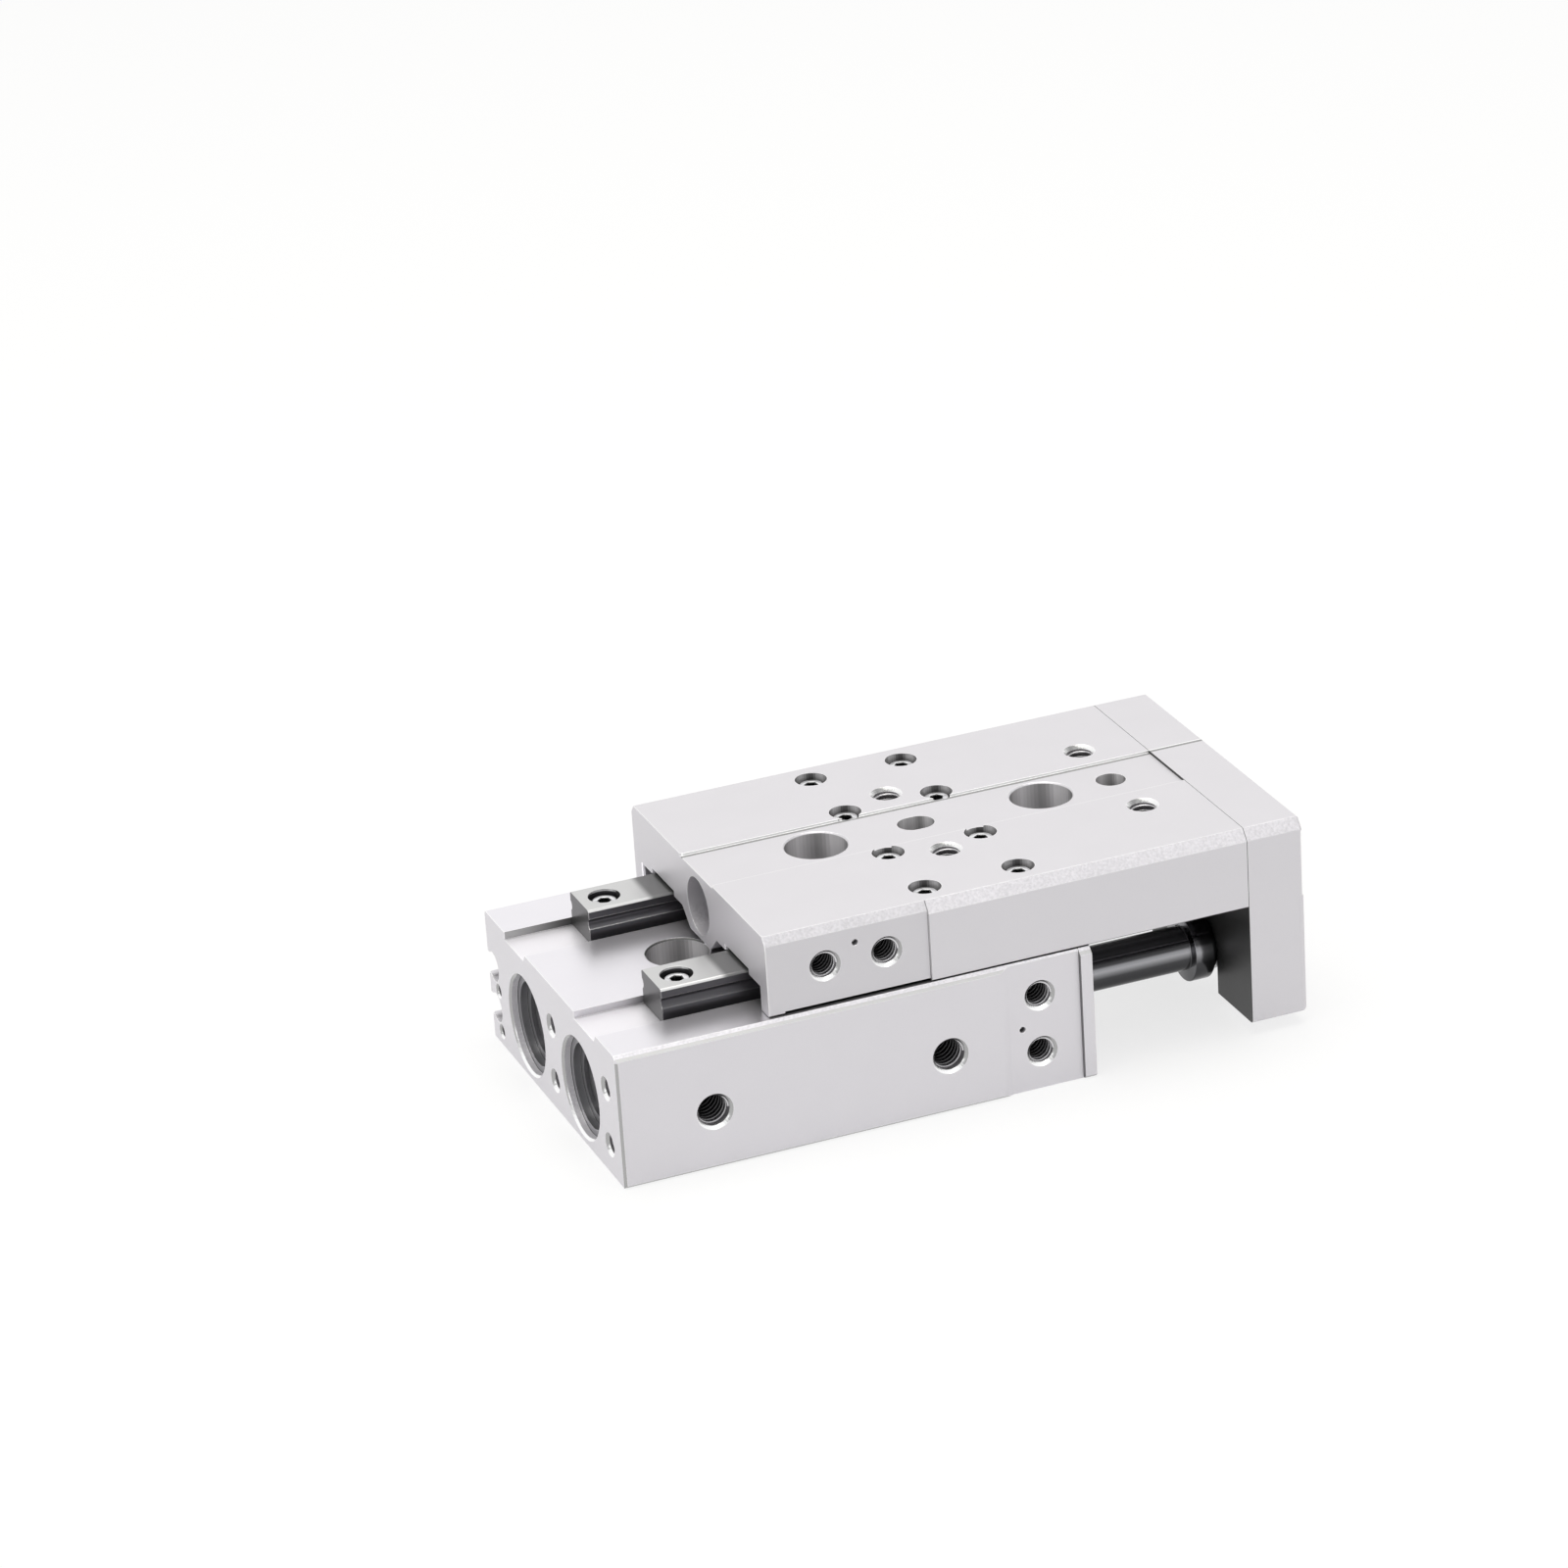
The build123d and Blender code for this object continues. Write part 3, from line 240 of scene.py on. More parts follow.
area_lamp("overhead", Vector((-0.02, 0.05, 0.9)), 0.7, 5.2, WARM_WHITE)
area_lamp("chamfer_light", Vector((0.3, -0.55, 0.7)), 0.3, 0.2)
area_lamp("rear_left", Vector((-0.9, -0.35, 0.4)), 0.4, 0.8)

# %% [markdown]
# ## Shared effects
# Some effects return in several finishes: the fine grain of an anodised skin, a painted highlight along
# edges, painted shade in hollows and gaps, the thin dark line of a seam, the sparkle of a slanted face and
# the rings that a lathe leaves. Each is a node group, so a finish only states how much of it there is.

# %% A helper for groups
def new_group(name, inputs, outputs):
    """An empty shader group: the tree, the sockets that lead in and the sockets that lead out."""
    group = bpy.data.node_groups.new(name, "ShaderNodeTree")
    for label, value in inputs.items():
        socket = group.interface.new_socket(label, in_out="INPUT", socket_type="NodeSocketFloat")
        socket.default_value = value
    for label in outputs:
        group.interface.new_socket(label, in_out="OUTPUT", socket_type="NodeSocketFloat")
    return group, node(group, "NodeGroupInput").outputs, node(group, "NodeGroupOutput").inputs


# %% Fine grain
def make_grain_group():
    """Fine speckle: a tone between 0 and 1 around one half, and a height for a Bump node."""
    group, entry, leave = new_group(
        "fine_grain", {"Grain size": 0.12, "Cloud size": 6.0, "Cloud share": 0.35}, ("Tone", "Height")
    )
    place = node(group, "ShaderNodeTexCoord").outputs["Object"]
    fine_scale = maths(group, "DIVIDE", 1 / MM, entry["Grain size"])
    cloud_scale = maths(group, "DIVIDE", 1 / MM, entry["Cloud size"])
    inputs = {"Detail": 2.0, "Vector": place, "Scale": fine_scale}
    fine = node(group, "ShaderNodeTexNoise", inputs).outputs["Fac"]
    cloud = node(group, "ShaderNodeTexNoise", {"Vector": place, "Scale": cloud_scale}).outputs["Fac"]
    blend = node(group, "ShaderNodeMix", {0: entry["Cloud share"], 2: fine, 3: cloud}, data_type="FLOAT")
    group.links.new(blend.outputs[0], leave["Tone"])
    group.links.new(fine, leave["Height"])
    return group


grain_group = make_grain_group()
print("group", grain_group.name)

# %% Edges for painted highlights
def make_edge_group():
    """A mask that is 1 along sharp edges, found by comparing the face's direction with a rounded one.
    Finishes paint a highlight with it.
    """
    group, entry, leave = new_group("edge_highlight_mask", {"Width": 0.15, "Gain": 6.0}, ("Mask",))
    radius = maths(group, "MULTIPLY", entry["Width"], MM)
    rounded = node(group, "ShaderNodeBevel", {"Radius": radius}, samples=6).outputs["Normal"]
    flat = node(group, "ShaderNodeNewGeometry").outputs["Normal"]
    dot = node(group, "ShaderNodeVectorMath", {0: rounded, 1: flat}, operation="DOT_PRODUCT")
    turned_away = maths(group, "SUBTRACT", 1.0, dot.outputs["Value"])
    group.links.new(maths(group, "MULTIPLY", turned_away, entry["Gain"], clamp=True), leave["Mask"])
    return group


edge_group = make_edge_group()
print("group", edge_group.name)

# %% Shade in hollows
HOLE_OPENNESS = (0.12, 0.62)
GAP_OPENNESS = (0.05, 0.55)


def make_hollow_group():
    """A value that falls from 1 on open faces towards 0 in holes, corners and narrow gaps.

    The piece's own holes count everywhere. Its neighbours count only above the floor's reach, because the
    floor isn't a part of the object.
    """
    inputs = {"Reach": 3.0, "Gap reach": 2.0, "Power": 1.0}
    group, entry, leave = new_group("hollow_shade", inputs, ("Open",))
    reach = maths(group, "MULTIPLY", entry["Reach"], MM)
    own = node(group, "ShaderNodeAmbientOcclusion", {"Distance": reach}, samples=8, only_local=True)
    gap_reach = maths(group, "MULTIPLY", entry["Gap reach"], MM)
    near = node(group, "ShaderNodeAmbientOcclusion", {"Distance": gap_reach}, samples=8)
    near_floor = maths(group, "LESS_THAN", place_of(group)["Z"], gap_reach)
    lifted = maths(group, "MAXIMUM", near.outputs["AO"], near_floor)
    hole = remap(group, own.outputs["AO"], *HOLE_OPENNESS, 0.0, 1.0)
    gap = remap(group, lifted, *GAP_OPENNESS, 0.0, 1.0)
    group.links.new(maths(group, "POWER", maths(group, "MINIMUM", hole, gap), entry["Power"]), leave["Open"])
    return group


hollow_group = make_hollow_group()
print("group", hollow_group.name)

# %% Seams
def make_seam_group():
    """A mask that is 1 within a narrow strip about the plane X = Place, where two pieces meet."""
    group, entry, leave = new_group("seam_line", {"Place": 0.0, "Half width": 0.1}, ("Mask",))
    away = maths(group, "SUBTRACT", place_of(group)["X"], maths(group, "MULTIPLY", entry["Place"], MM))
    half_width = maths(group, "MULTIPLY", entry["Half width"], MM)
    group.links.new(maths(group, "LESS_THAN", maths(group, "ABSOLUTE", away), half_width), leave["Mask"])
    return group


seam_group = make_seam_group()
print("group", seam_group.name)

# %% Slanted faces
def make_slant_group():
    """A mask that is 1 on faces that slope between the side and the top, as a long chamfer does."""
    group, entry, leave = new_group("slanted_face", {"Least": 0.4}, ("Mask",))
    facing = facing_of(group)
    both = maths(group, "MINIMUM", *(maths(group, "ABSOLUTE", facing[axis]) for axis in "YZ"))
    group.links.new(maths(group, "GREATER_THAN", both, entry["Least"]), leave["Mask"])
    return group


slant_group = make_slant_group()
print("group", slant_group.name)

# %% Lathe rings
def make_rings_group():
    """Fine rings about two axes along X, at Y and -Y, as a height for a Bump node."""
    inputs = {"Axis Y": 0.0, "Axis Z": 0.0, "Pitch": 0.25}
    group, entry, leave = new_group("lathe_rings", inputs, ("Height",))
    place = place_of(group)
    across = maths(group, "ABSOLUTE", place["Y"])
    off_y = maths(group, "SUBTRACT", across, maths(group, "MULTIPLY", entry["Axis Y"], MM))
    off_z = maths(group, "SUBTRACT", place["Z"], maths(group, "MULTIPLY", entry["Axis Z"], MM))
    squares = (maths(group, "MULTIPLY", off, off) for off in (off_y, off_z))
    distance = maths(group, "SQRT", maths(group, "ADD", *squares))
    turn = maths(group, "MULTIPLY", entry["Pitch"], MM / (2 * pi))
    wave = maths(group, "SINE", maths(group, "DIVIDE", distance, turn))
    group.links.new(maths(group, "MULTIPLY", wave, 0.5), leave["Height"])
    return group


rings_group = make_rings_group()
print("group", rings_group.name)

# %% [markdown]
# ## Finishes
# A finish is one material. They all start the same way: a Principled shader, a tone that wanders a
# little about the base colour, and a faint bump. `finish` builds that much, and each finish below adds
# what is its own.

# %% The common start of a finish
def use_group(tree, group, **values):
    """The outputs of a group node, some of whose inputs are set."""
    inputs = {label.replace("_", " "): value for label, value in values.items()}
    return node(tree, "ShaderNodeGroup", inputs, node_tree=group).outputs


def parts_of(material):
    """A finish's tree, its shader and the socket that feeds the shader's colour."""
    shader = material.node_tree.nodes["Principled BSDF"]
    links = shader.inputs["Base Color"].links
    return material.node_tree, shader, links[0].from_socket if links else None


RELIEF_DEPTH = 0.05 * MM


def set_relief(material, height, strength):
    """Feeds a height through a Bump node into a finish's normal."""
    tree, shader, _ = parts_of(material)
    inputs = {"Strength": strength, "Distance": RELIEF_DEPTH, "Height": height}
    tree.links.new(node(tree, "ShaderNodeBump", inputs).outputs["Normal"], shader.inputs["Normal"])


SEAM_HALF_WIDTH = 0.06
SEAM_COLOR = (0.22, 0.215, 0.225)
HOLLOW_REACH = 7.0
HOLLOW_POWER = 1.4
SPARKLE_SIZE = 0.35
SPARKLE_RANGE = (0.3, 0.7)


def finish(
    name, color, metallic, roughness, spread=0.04, grain=0.12, bump=0.02, edge=0.0, edge_width=0.15,
    edge_highlight_tone=0.93, hollow=None, gap_reach=2.0, seam=None, sparkle=0.0,
):
    """A material whose tone wanders by spread, with a fine bump, painted highlights on edges, painted shade
    in hollows and a seam.
    """
    material = bpy.data.materials.new(name)
    material.use_nodes = True
    tree, shader, _ = parts_of(material)
    shader.inputs["Metallic"].default_value = metallic
    speckle = use_group(tree, grain_group, Grain_size=grain)
    last_color = scaled(tree, color, remap(tree, speckle["Tone"], 0.0, 1.0, 1 - spread, 1 + spread))
    # Painted shade: holes, corners and narrow gaps are darkened towards the hollow tone.
    if hollow is not None:
        reaches = {"Reach": HOLLOW_REACH, "Gap_reach": gap_reach}
        openness = use_group(tree, hollow_group, **reaches, Power=HOLLOW_POWER)["Open"]
        last_color = mix_colors(tree, openness, (*hollow, 1), last_color)
    # Painted highlight: sharp edges are lifted towards a light tone and made metallic.
    if edge > 0:
        painted_edge_highlight = maths(tree, "MULTIPLY", use_group(tree, edge_group, Width=edge_width)["Mask"], edge)
        tree.links.new(maths(tree, "MAXIMUM", painted_edge_highlight, metallic), shader.inputs["Metallic"])
        last_color = mix_colors(tree, painted_edge_highlight, last_color, grey(edge_highlight_tone))
    if sparkle > 0:
        slanted = use_group(tree, slant_group)["Mask"]
        flecks = use_group(tree, grain_group, Grain_size=SPARKLE_SIZE, Cloud_share=0.15)["Tone"]
        change = remap(tree, flecks, *SPARKLE_RANGE, -sparkle, sparkle)
        last_color = scaled(tree, last_color, maths(tree, "MULTIPLY_ADD", change, slanted, 1.0))
    if seam is not None:
        line = use_group(tree, seam_group, Place=seam, Half_width=SEAM_HALF_WIDTH)["Mask"]
        last_color = mix_colors(tree, line, last_color, (*SEAM_COLOR, 1))
    tree.links.new(last_color, shader.inputs["Base Color"])
    rough = remap(tree, speckle["Tone"], 0.0, 1.0, roughness * 0.9, roughness * 1.1)
    tree.links.new(rough, shader.inputs["Roughness"])
    set_relief(material, speckle["Height"], bump)
    return material


# %% Aluminium, steel and rubber
BODY_COLOR = (0.705, 0.69, 0.722)
TABLE_COLOR = (0.668, 0.654, 0.682)
# The tone of painted shade in holes, corners and narrow gaps.
HOLLOW_SHADE_COLOR = (0.05, 0.047, 0.052)
# Edge settings paint highlights along edges, and the hollow setting paints shade in holes and gaps.
ANODISED = dict(
    metallic=0.55,
    roughness=0.42,
    bump=0.25,
    edge=1.0,
    edge_width=0.22,
    edge_highlight_tone=0.98,
    hollow=HOLLOW_SHADE_COLOR,
    sparkle=0.12,
)
cover_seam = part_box("front_plate")[0].x / MM
plate_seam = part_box("end_plate")[0].x / MM
anodised_body = finish("anodised_body", BODY_COLOR, seam=cover_seam, gap_reach=5.0, **ANODISED)
anodised_table = finish("anodised_table", TABLE_COLOR, seam=plate_seam, **ANODISED)
# These finishes also get painted highlights along edges, and the machined one painted shade in hollows.
bare_aluminium = finish(
    "machined_aluminium", (0.50, 0.50, 0.51), 0.9, 0.33, grain=0.3, edge=0.4, hollow=HOLLOW_SHADE_COLOR
)
bright_steel = finish("bright_steel", (0.62, 0.62, 0.63), 1.0, 0.25, grain=0.2, edge=0.5)
spring_steel = finish("spring_steel", (0.3, 0.3, 0.31), 1.0, 0.35, grain=0.2, edge=0.5)
black_rubber = finish("black_rubber", (0.02, 0.02, 0.02), 0.0, 0.6, spread=0.2, bump=0.2)
dark_plastic = finish("dark_plastic", (0.05, 0.05, 0.055), 0.0, 0.45, spread=0.15, bump=0.15)
bronze = finish("sintered_bronze", (0.45, 0.31, 0.17), 0.9, 0.45, spread=0.15, grain=0.25, bump=0.3)
magnet = finish("magnet_ferrite", (0.06, 0.055, 0.055), 0.1, 0.5, spread=0.15, bump=0.2)
print("finishes", len(bpy.data.materials))

# %% [markdown]
# Some surfaces differ from the skin round them: the milled seat under the rails is glossier and is painted
# lighter, its low wall gets painted shade, the cones at the mouths of holes get painted highlights, and the
# wall of a drilled hole gets a painted reflection, as of a small mirror, dark where it faces the viewer's
# side and lighter to the left and right. `tint_where` lays such a tone over a finish wherever a mask is 1,
# and
# `Where` gives the masks: they compare a point's place and its face's direction with limits.

# %% Masks by place and direction
class Where:
    """Masks over a material's own object space. Places are in millimetres."""

    def __init__(self, material):
        self.tree = material.node_tree
        self.place = place_of(self.tree)
        self.facing = facing_of(self.tree)

    def within(self, socket, low, high, unit=1.0):
        """1 where a socket's value lies between two limits."""
        away = maths(self.tree, "SUBTRACT", socket, (low + high) / 2 * unit)
        return maths(self.tree, "LESS_THAN", maths(self.tree, "ABSOLUTE", away), (high - low) / 2 * unit)

    def all_of(self, *masks):
        """The product of masks."""
        product = masks[0]
        for mask in masks[1:]:
            product = maths(self.tree, "MULTIPLY", product, mask)
        return product

    def mask(self, facing=None, **limits):
        """1 where a place is within the limits along the named axes and the face looks the given way."""
        masks = [self.within(self.place[axis], *pair, MM) for axis, pair in limits.items()]
        if facing:
            masks.append(self.within(self.facing[facing[0]], *facing[1:]))
        return self.all_of(*masks)

    def near(self, axis, places, reach):
        """1 within a reach of either of two places along an axis."""
        masks = [self.mask(**{axis: (at - reach, at + reach)}) for at in places]
        return maths(self.tree, "MAXIMUM", *masks)


def tint_where(material, mask, tone=None, metallic=None, roughness=None):
    """Puts a tone, a number or a socket, and other settings over a finish where the mask is 1."""
    tree, shader, _ = parts_of(material)
    for label, value in (("Base Color", tone), ("Metallic", metallic), ("Roughness", roughness)):
        if value is None:
            continue
        socket = shader.inputs[label]
        before = socket.links[0].from_socket if socket.is_linked else socket.default_value
        if label == "Base Color":
            mixed = mix_colors(tree, mask, before, grey(value) if isinstance(value, float) else value)
        else:
            inputs = {0: mask, 2: before, 3: value}
            mixed = node(tree, "ShaderNodeMix", inputs, data_type="FLOAT").outputs[0]
        tree.links.new(mixed, socket)


# %% Painted reflections on the walls of drilled holes
# Tones of the painted reflection across a hole's wall, for plain holes and for holes with screws.
BORE_REFLECTION_TONES = (
    *((0.0, 0.2), (0.07, 0.6), (0.22, 0.88), (0.42, 0.5), (0.53, 0.36)),
    *((0.62, 0.5), (0.76, 0.9), (0.92, 0.7), (1.0, 0.2)),
)
SCREW_BORE_REFLECTION_TONES = (
    *((0.0, 0.2), (0.15, 0.7), (0.3, 0.45), (0.42, 0.1)),
    *((0.58, 0.1), (0.7, 0.45), (0.85, 0.7), (1.0, 0.2)),
)
BORE_GREEN = 0.985
BORE_METALLIC = 0.3
UPRIGHT = ("Z", -0.3, 0.3)
UPWARD = ("Z", 0.9, 1.1)
REARWARD = ("X", -1.1, -0.9)


def bore_reflection(where, tones=BORE_REFLECTION_TONES):
    """The painted reflection on an upright hole's wall: a tone curve over the sideways share of the face's
    direction.
    """
    tree = where.tree
    along_x = maths(tree, "MULTIPLY", where.facing["X"], -level_right.x / 2)
    along_y = maths(tree, "MULTIPLY", where.facing["Y"], -level_right.y / 2)
    across = maths(tree, "ADD", maths(tree, "ADD", along_x, along_y), 0.5)
    return tone_curve(tree, across, [(at, (tone, tone * BORE_GREEN, tone, 1)) for at, tone in tones])


# Painted highlights on the cones at the mouths of holes.
CONE_SLOPE = (-0.85, -0.55)
CONE_UP_SHARE = 0.85
CONE_SIDE_SHARE = 0.5
CONE_HIGHLIGHT_TONES = (0.1, 0.35, 0.4, 0.98)


def paint_mouth_highlights(material, where, mask, sideways):
    """Paints highlights on the cones at the mouths of holes, white where they face up and sideways, else
    grey, and makes them polished metal.
    """
    tree = where.tree
    up_share = maths(tree, "MULTIPLY", where.facing["Z"], CONE_UP_SHARE)
    side_share = maths(tree, "MULTIPLY", where.facing[sideways], CONE_SIDE_SHARE)
    mouth_highlight = remap(tree, maths(tree, "ADD", up_share, side_share), *CONE_HIGHLIGHT_TONES)
    tint_where(material, mask, mouth_highlight, metallic=1.0, roughness=0.18)


# %% Milled seat and holes of the body
seat_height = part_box("rail_back")[0].z / MM
body_low, body_high = (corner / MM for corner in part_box("slide_body"))
SEAT_WALL_SHADES = (0.4, 0.1)
TOP_LIGHT_GAIN = 1.18
BASE_BOLT_REACH = 4.16
CHAMFER_FOOT = (0.75, 0.38)
CHAMFER_FOOT_SHADE = 0.56


def mill_body(material):
    """The rails' seat and the top with painted light and a glossy top, painted shade on the seat's wall and
    the chamfer's foot, painted reflections in the bolt holes and painted highlights on the cones.
    """
    where = Where(material)
    tree, _, plain = parts_of(material)
    inner = (body_low.x + 0.1, body_high.x - 0.1)
    on_floor = where.mask(Z=(seat_height - 0.05, seat_height + 0.05), facing=UPWARD)
    on_top = where.mask(Z=(body_high.z - 0.05, body_high.z + 0.05), facing=UPWARD)
    # Painted light: upward faces of the seat and the top are made lighter than the sides.
    tint_where(material, maths(tree, "MAXIMUM", on_floor, on_top), scaled(tree, plain, TOP_LIGHT_GAIN))
    tint_where(material, on_top, metallic=0.85, roughness=0.28)
    # Painted shade on the seat's low wall, darker towards the rails' ends.
    heights = (seat_height + 0.03, body_high.z - 0.01)
    wall = where.mask(X=inner, Y=(0, body_high.y - 1), Z=heights, facing=("Y", -1.1, -0.2))
    seat_start = body_low.x * MM
    rail_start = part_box("rail_back")[0].x
    limits = (seat_start, rail_start, *SEAT_WALL_SHADES)
    tint_where(material, wall, remap(tree, where.place["X"], *limits, interpolation_type="SMOOTHSTEP"))
    # Painted reflections on the walls of the bolt holes.
    heights = (body_high.z - 4.35, body_high.z - 0.1)
    holes = where.mask(X=inner, Y=(-BASE_BOLT_REACH, BASE_BOLT_REACH), Z=heights, facing=UPRIGHT)
    tint_where(material, holes, bore_reflection(where), metallic=BORE_METALLIC)
    # Painted highlights on the cones of the side and rear holes.
    side_cones = where.mask(
        Y=(body_low.y - 0.1, body_low.y + 1.0), Z=(body_low.z, body_high.z - 0.9), facing=("Y", *CONE_SLOPE)
    )
    paint_mouth_highlights(material, where, side_cones, "X")
    rear_cones = where.mask(
        X=(body_low.x - 0.1, body_low.x + 0.55),
        Y=(body_low.y + 0.7, body_high.y - 0.7),
        facing=("X", *CONE_SLOPE),
    )
    paint_mouth_highlights(material, where, rear_cones, "Y")
    # Painted shade on the lower part of the body's top chamfer.
    chamfer_foot = where.mask(
        Y=(body_low.y - 0.1, body_low.y + 0.75),
        Z=(body_high.z - CHAMFER_FOOT[0], body_high.z - CHAMFER_FOOT[1]),
        facing=("Z", 0.5, 0.9),
    )
    tint_where(material, chamfer_foot, CHAMFER_FOOT_SHADE)


mill_body(anodised_body)
print("seat at", round(seat_height, 2), "mm")

# %% Holes and groove of the table
table_low, table_high = (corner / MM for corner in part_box("table"))
GROOVE_EDGE = 5.5
GROOVE_DEPTH = 0.3
GROOVE_HIGHLIGHT_AND_SHADE = (0.98, 0.3)
ROOF = 4.05
LEG_SHADE = 0.14
LEG_SHADE_TONE = 0.03
RIM_WIDTH = 0.14
INNER_PLATE_SHADE = 0.055
TOP_CONE_HIGHLIGHT_TONES = (-0.68, -0.35, 0.3, 0.92)
TAPPED_X = (18.1, 46.1)
TAPPED_Y = (-10.0, 10.0)
TAPPED_REACH = 2.2
SCREW_X = (11.15, 24.15)
SCREW_REACH = 2.3


def mill_table(material):
    """Painted reflections in the table's holes, a painted highlight and painted shade at its groove's far
    edge, painted highlights on its cones and rear rim, and painted shade under its legs and on the end
    plate's inner face.
    """
    where = Where(material)
    tree = where.tree
    rear, front, top = table_low.x, table_high.x, table_high.z
    holes = where.mask(
        X=(rear + 1, front - 1),
        Y=(table_low.y + 1, table_high.y - 1),
        Z=(top - ROOF, top - 0.12),
        facing=UPRIGHT,
    )
    in_columns, in_rows = where.near("X", TAPPED_X, TAPPED_REACH), where.near("Y", TAPPED_Y, TAPPED_REACH)
    tapped = where.all_of(in_columns, in_rows)
    plain_holes = where.all_of(holes, maths(tree, "SUBTRACT", 1.0, tapped))
    # Painted reflections on the walls of the plain holes and of the screw holes.
    tint_where(material, plain_holes, bore_reflection(where), metallic=BORE_METALLIC)
    screwed = where.near("X", SCREW_X, SCREW_REACH)
    tint_where(material, where.all_of(plain_holes, screwed), bore_reflection(where, SCREW_BORE_REFLECTION_TONES))
    # Painted highlight along the groove's far edge, and painted shade at its foot.
    heights = (top - GROOVE_DEPTH - 0.1, top + 0.1)
    edge = where.mask(Y=(GROOVE_EDGE - 0.12, GROOVE_EDGE + 0.12), Z=heights)
    tint_where(material, edge, GROOVE_HIGHLIGHT_AND_SHADE[0], metallic=1.0)
    foot = where.mask(Y=(GROOVE_EDGE - 0.62, GROOVE_EDGE - 0.1), Z=heights)
    tint_where(material, foot, GROOVE_HIGHLIGHT_AND_SHADE[1])
    # Painted highlight on the eased edges of the table's rear face.
    heights = (table_low.z, top - 1.0)
    rear_rim_highlight = where.mask(X=(rear - 0.1, rear + RIM_WIDTH), Z=heights, facing=("X", -0.97, -0.15))
    tint_where(material, rear_rim_highlight, 0.98, metallic=1.0, roughness=0.2)
    under = where.mask(
        X=(rear - 0.1, front), Z=(table_low.z - 0.1, table_low.z + LEG_SHADE), facing=("Y", -1.1, -0.5)
    )
    tint_where(material, under, LEG_SHADE_TONE)
    # Painted shade on the end plate's inner face below the table.
    tint_where(material, where.mask(X=(front - 0.1, front + 4), facing=REARWARD), INNER_PLATE_SHADE)
    # Painted highlights on the cones of the side holes.
    side_cones = where.mask(
        Y=(table_low.y - 0.1, table_low.y + 0.9), Z=(table_low.z, top - 1.7), facing=("Y", *CONE_SLOPE)
    )
    paint_mouth_highlights(material, where, side_cones, "X")
    top_cones = where.mask(
        Y=(table_low.y + 2, table_high.y - 2), Z=(top - 0.85, top + 0.1), facing=("Z", 0.55, 0.85)
    )
    # Painted highlights on the cones of the tapped holes in the top.
    cone_highlight = remap(tree, where.facing["Y"], *TOP_CONE_HIGHLIGHT_TONES)
    tint_where(material, where.all_of(top_cones, tapped), cone_highlight, metallic=1.0, roughness=0.25)


mill_table(anodised_table)
print("table top at", round(table_high.z, 2), "mm")

# %% Machined pad on the table's side
PAD_TONE = 0.94
PAD_LENGTH = 22.25
PAD_LINE_HALF_WIDTH = 0.07
PAD_STEP_SHADE_SHARE = 0.6
pad_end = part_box("table")[0].x / MM + PAD_LENGTH


def mark_pad(material):
    """Darkens the milled pad a little and paints shade as a line at the small step at its end, on the table's
    side only.
    """
    tree, shader, plain = parts_of(material)
    on_side = maths(tree, "LESS_THAN", facing_of(tree)["Y"], -0.5)
    before_end = maths(tree, "LESS_THAN", place_of(tree)["X"], pad_end * MM)
    share = maths(tree, "MULTIPLY", maths(tree, "MULTIPLY", on_side, before_end), 1 - PAD_TONE)
    # Painted shade along the small step at the pad's end.
    line = use_group(tree, seam_group, Place=pad_end, Half_width=PAD_LINE_HALF_WIDTH)["Mask"]
    step_shade_share = maths(tree, "MULTIPLY", maths(tree, "MULTIPLY", line, on_side), PAD_STEP_SHADE_SHARE)
    left = maths(tree, "SUBTRACT", 1.0, maths(tree, "MAXIMUM", share, step_shade_share))
    tree.links.new(scaled(tree, plain, left), shader.inputs["Base Color"])


mark_pad(anodised_table)
print("pad ends at x", round(pad_end, 2))

# %% [markdown]
# ## Rods and screws
# A polished rod is a mirror rolled into a cylinder: every height on it shows another part of the room, so
# it looks banded. Here the bands are a painted reflection: the tone follows the direction of the face, dark
# where a studio has its dark ceiling and light where the paper is. Screw heads are black, with a bright face
# where they were ground.

# %% Polished rod
# Tones of the rod's painted reflection over the upward share of the face's direction.
ROD_REFLECTION_BANDS = (
    *((-1.0, 0.03), (-0.66, 0.035), (-0.45, 0.05), (-0.11, 0.07), (0.07, 0.2), (0.22, 0.34), (0.35, 0.26)),
    *((0.43, 0.06), (0.56, 0.035), (0.64, 0.05), (0.68, 0.2), (0.72, 0.05), (1.0, 0.05)),
)


def make_rod_finish():
    """Polished steel with a painted reflection: its tone is a curve over the upward share of the face's
    direction.
    """
    material = finish("polished_rod_painted_reflection", (0.16, 0.16, 0.17), 1.0, 0.16, grain=0.4, bump=0.01)
    tree, shader, _ = parts_of(material)
    upward = maths(tree, "MULTIPLY_ADD", facing_of(tree, "Normal")["Z"], 0.5, 0.5)
    stops = [((height + 1) / 2, (tone, tone, tone * 1.05, 1)) for height, tone in ROD_REFLECTION_BANDS]
    tree.links.new(tone_curve(tree, upward, stops), shader.inputs["Base Color"])
    return material


rod_painted_reflection = make_rod_finish()
print("finish", rod_painted_reflection.name, "with", len(ROD_REFLECTION_BANDS), "tones")

# %% Screw steel
HEAD_FACE_COLOR = (0.8, 0.8, 0.816, 1)
ALONG_AXIS = 0.97


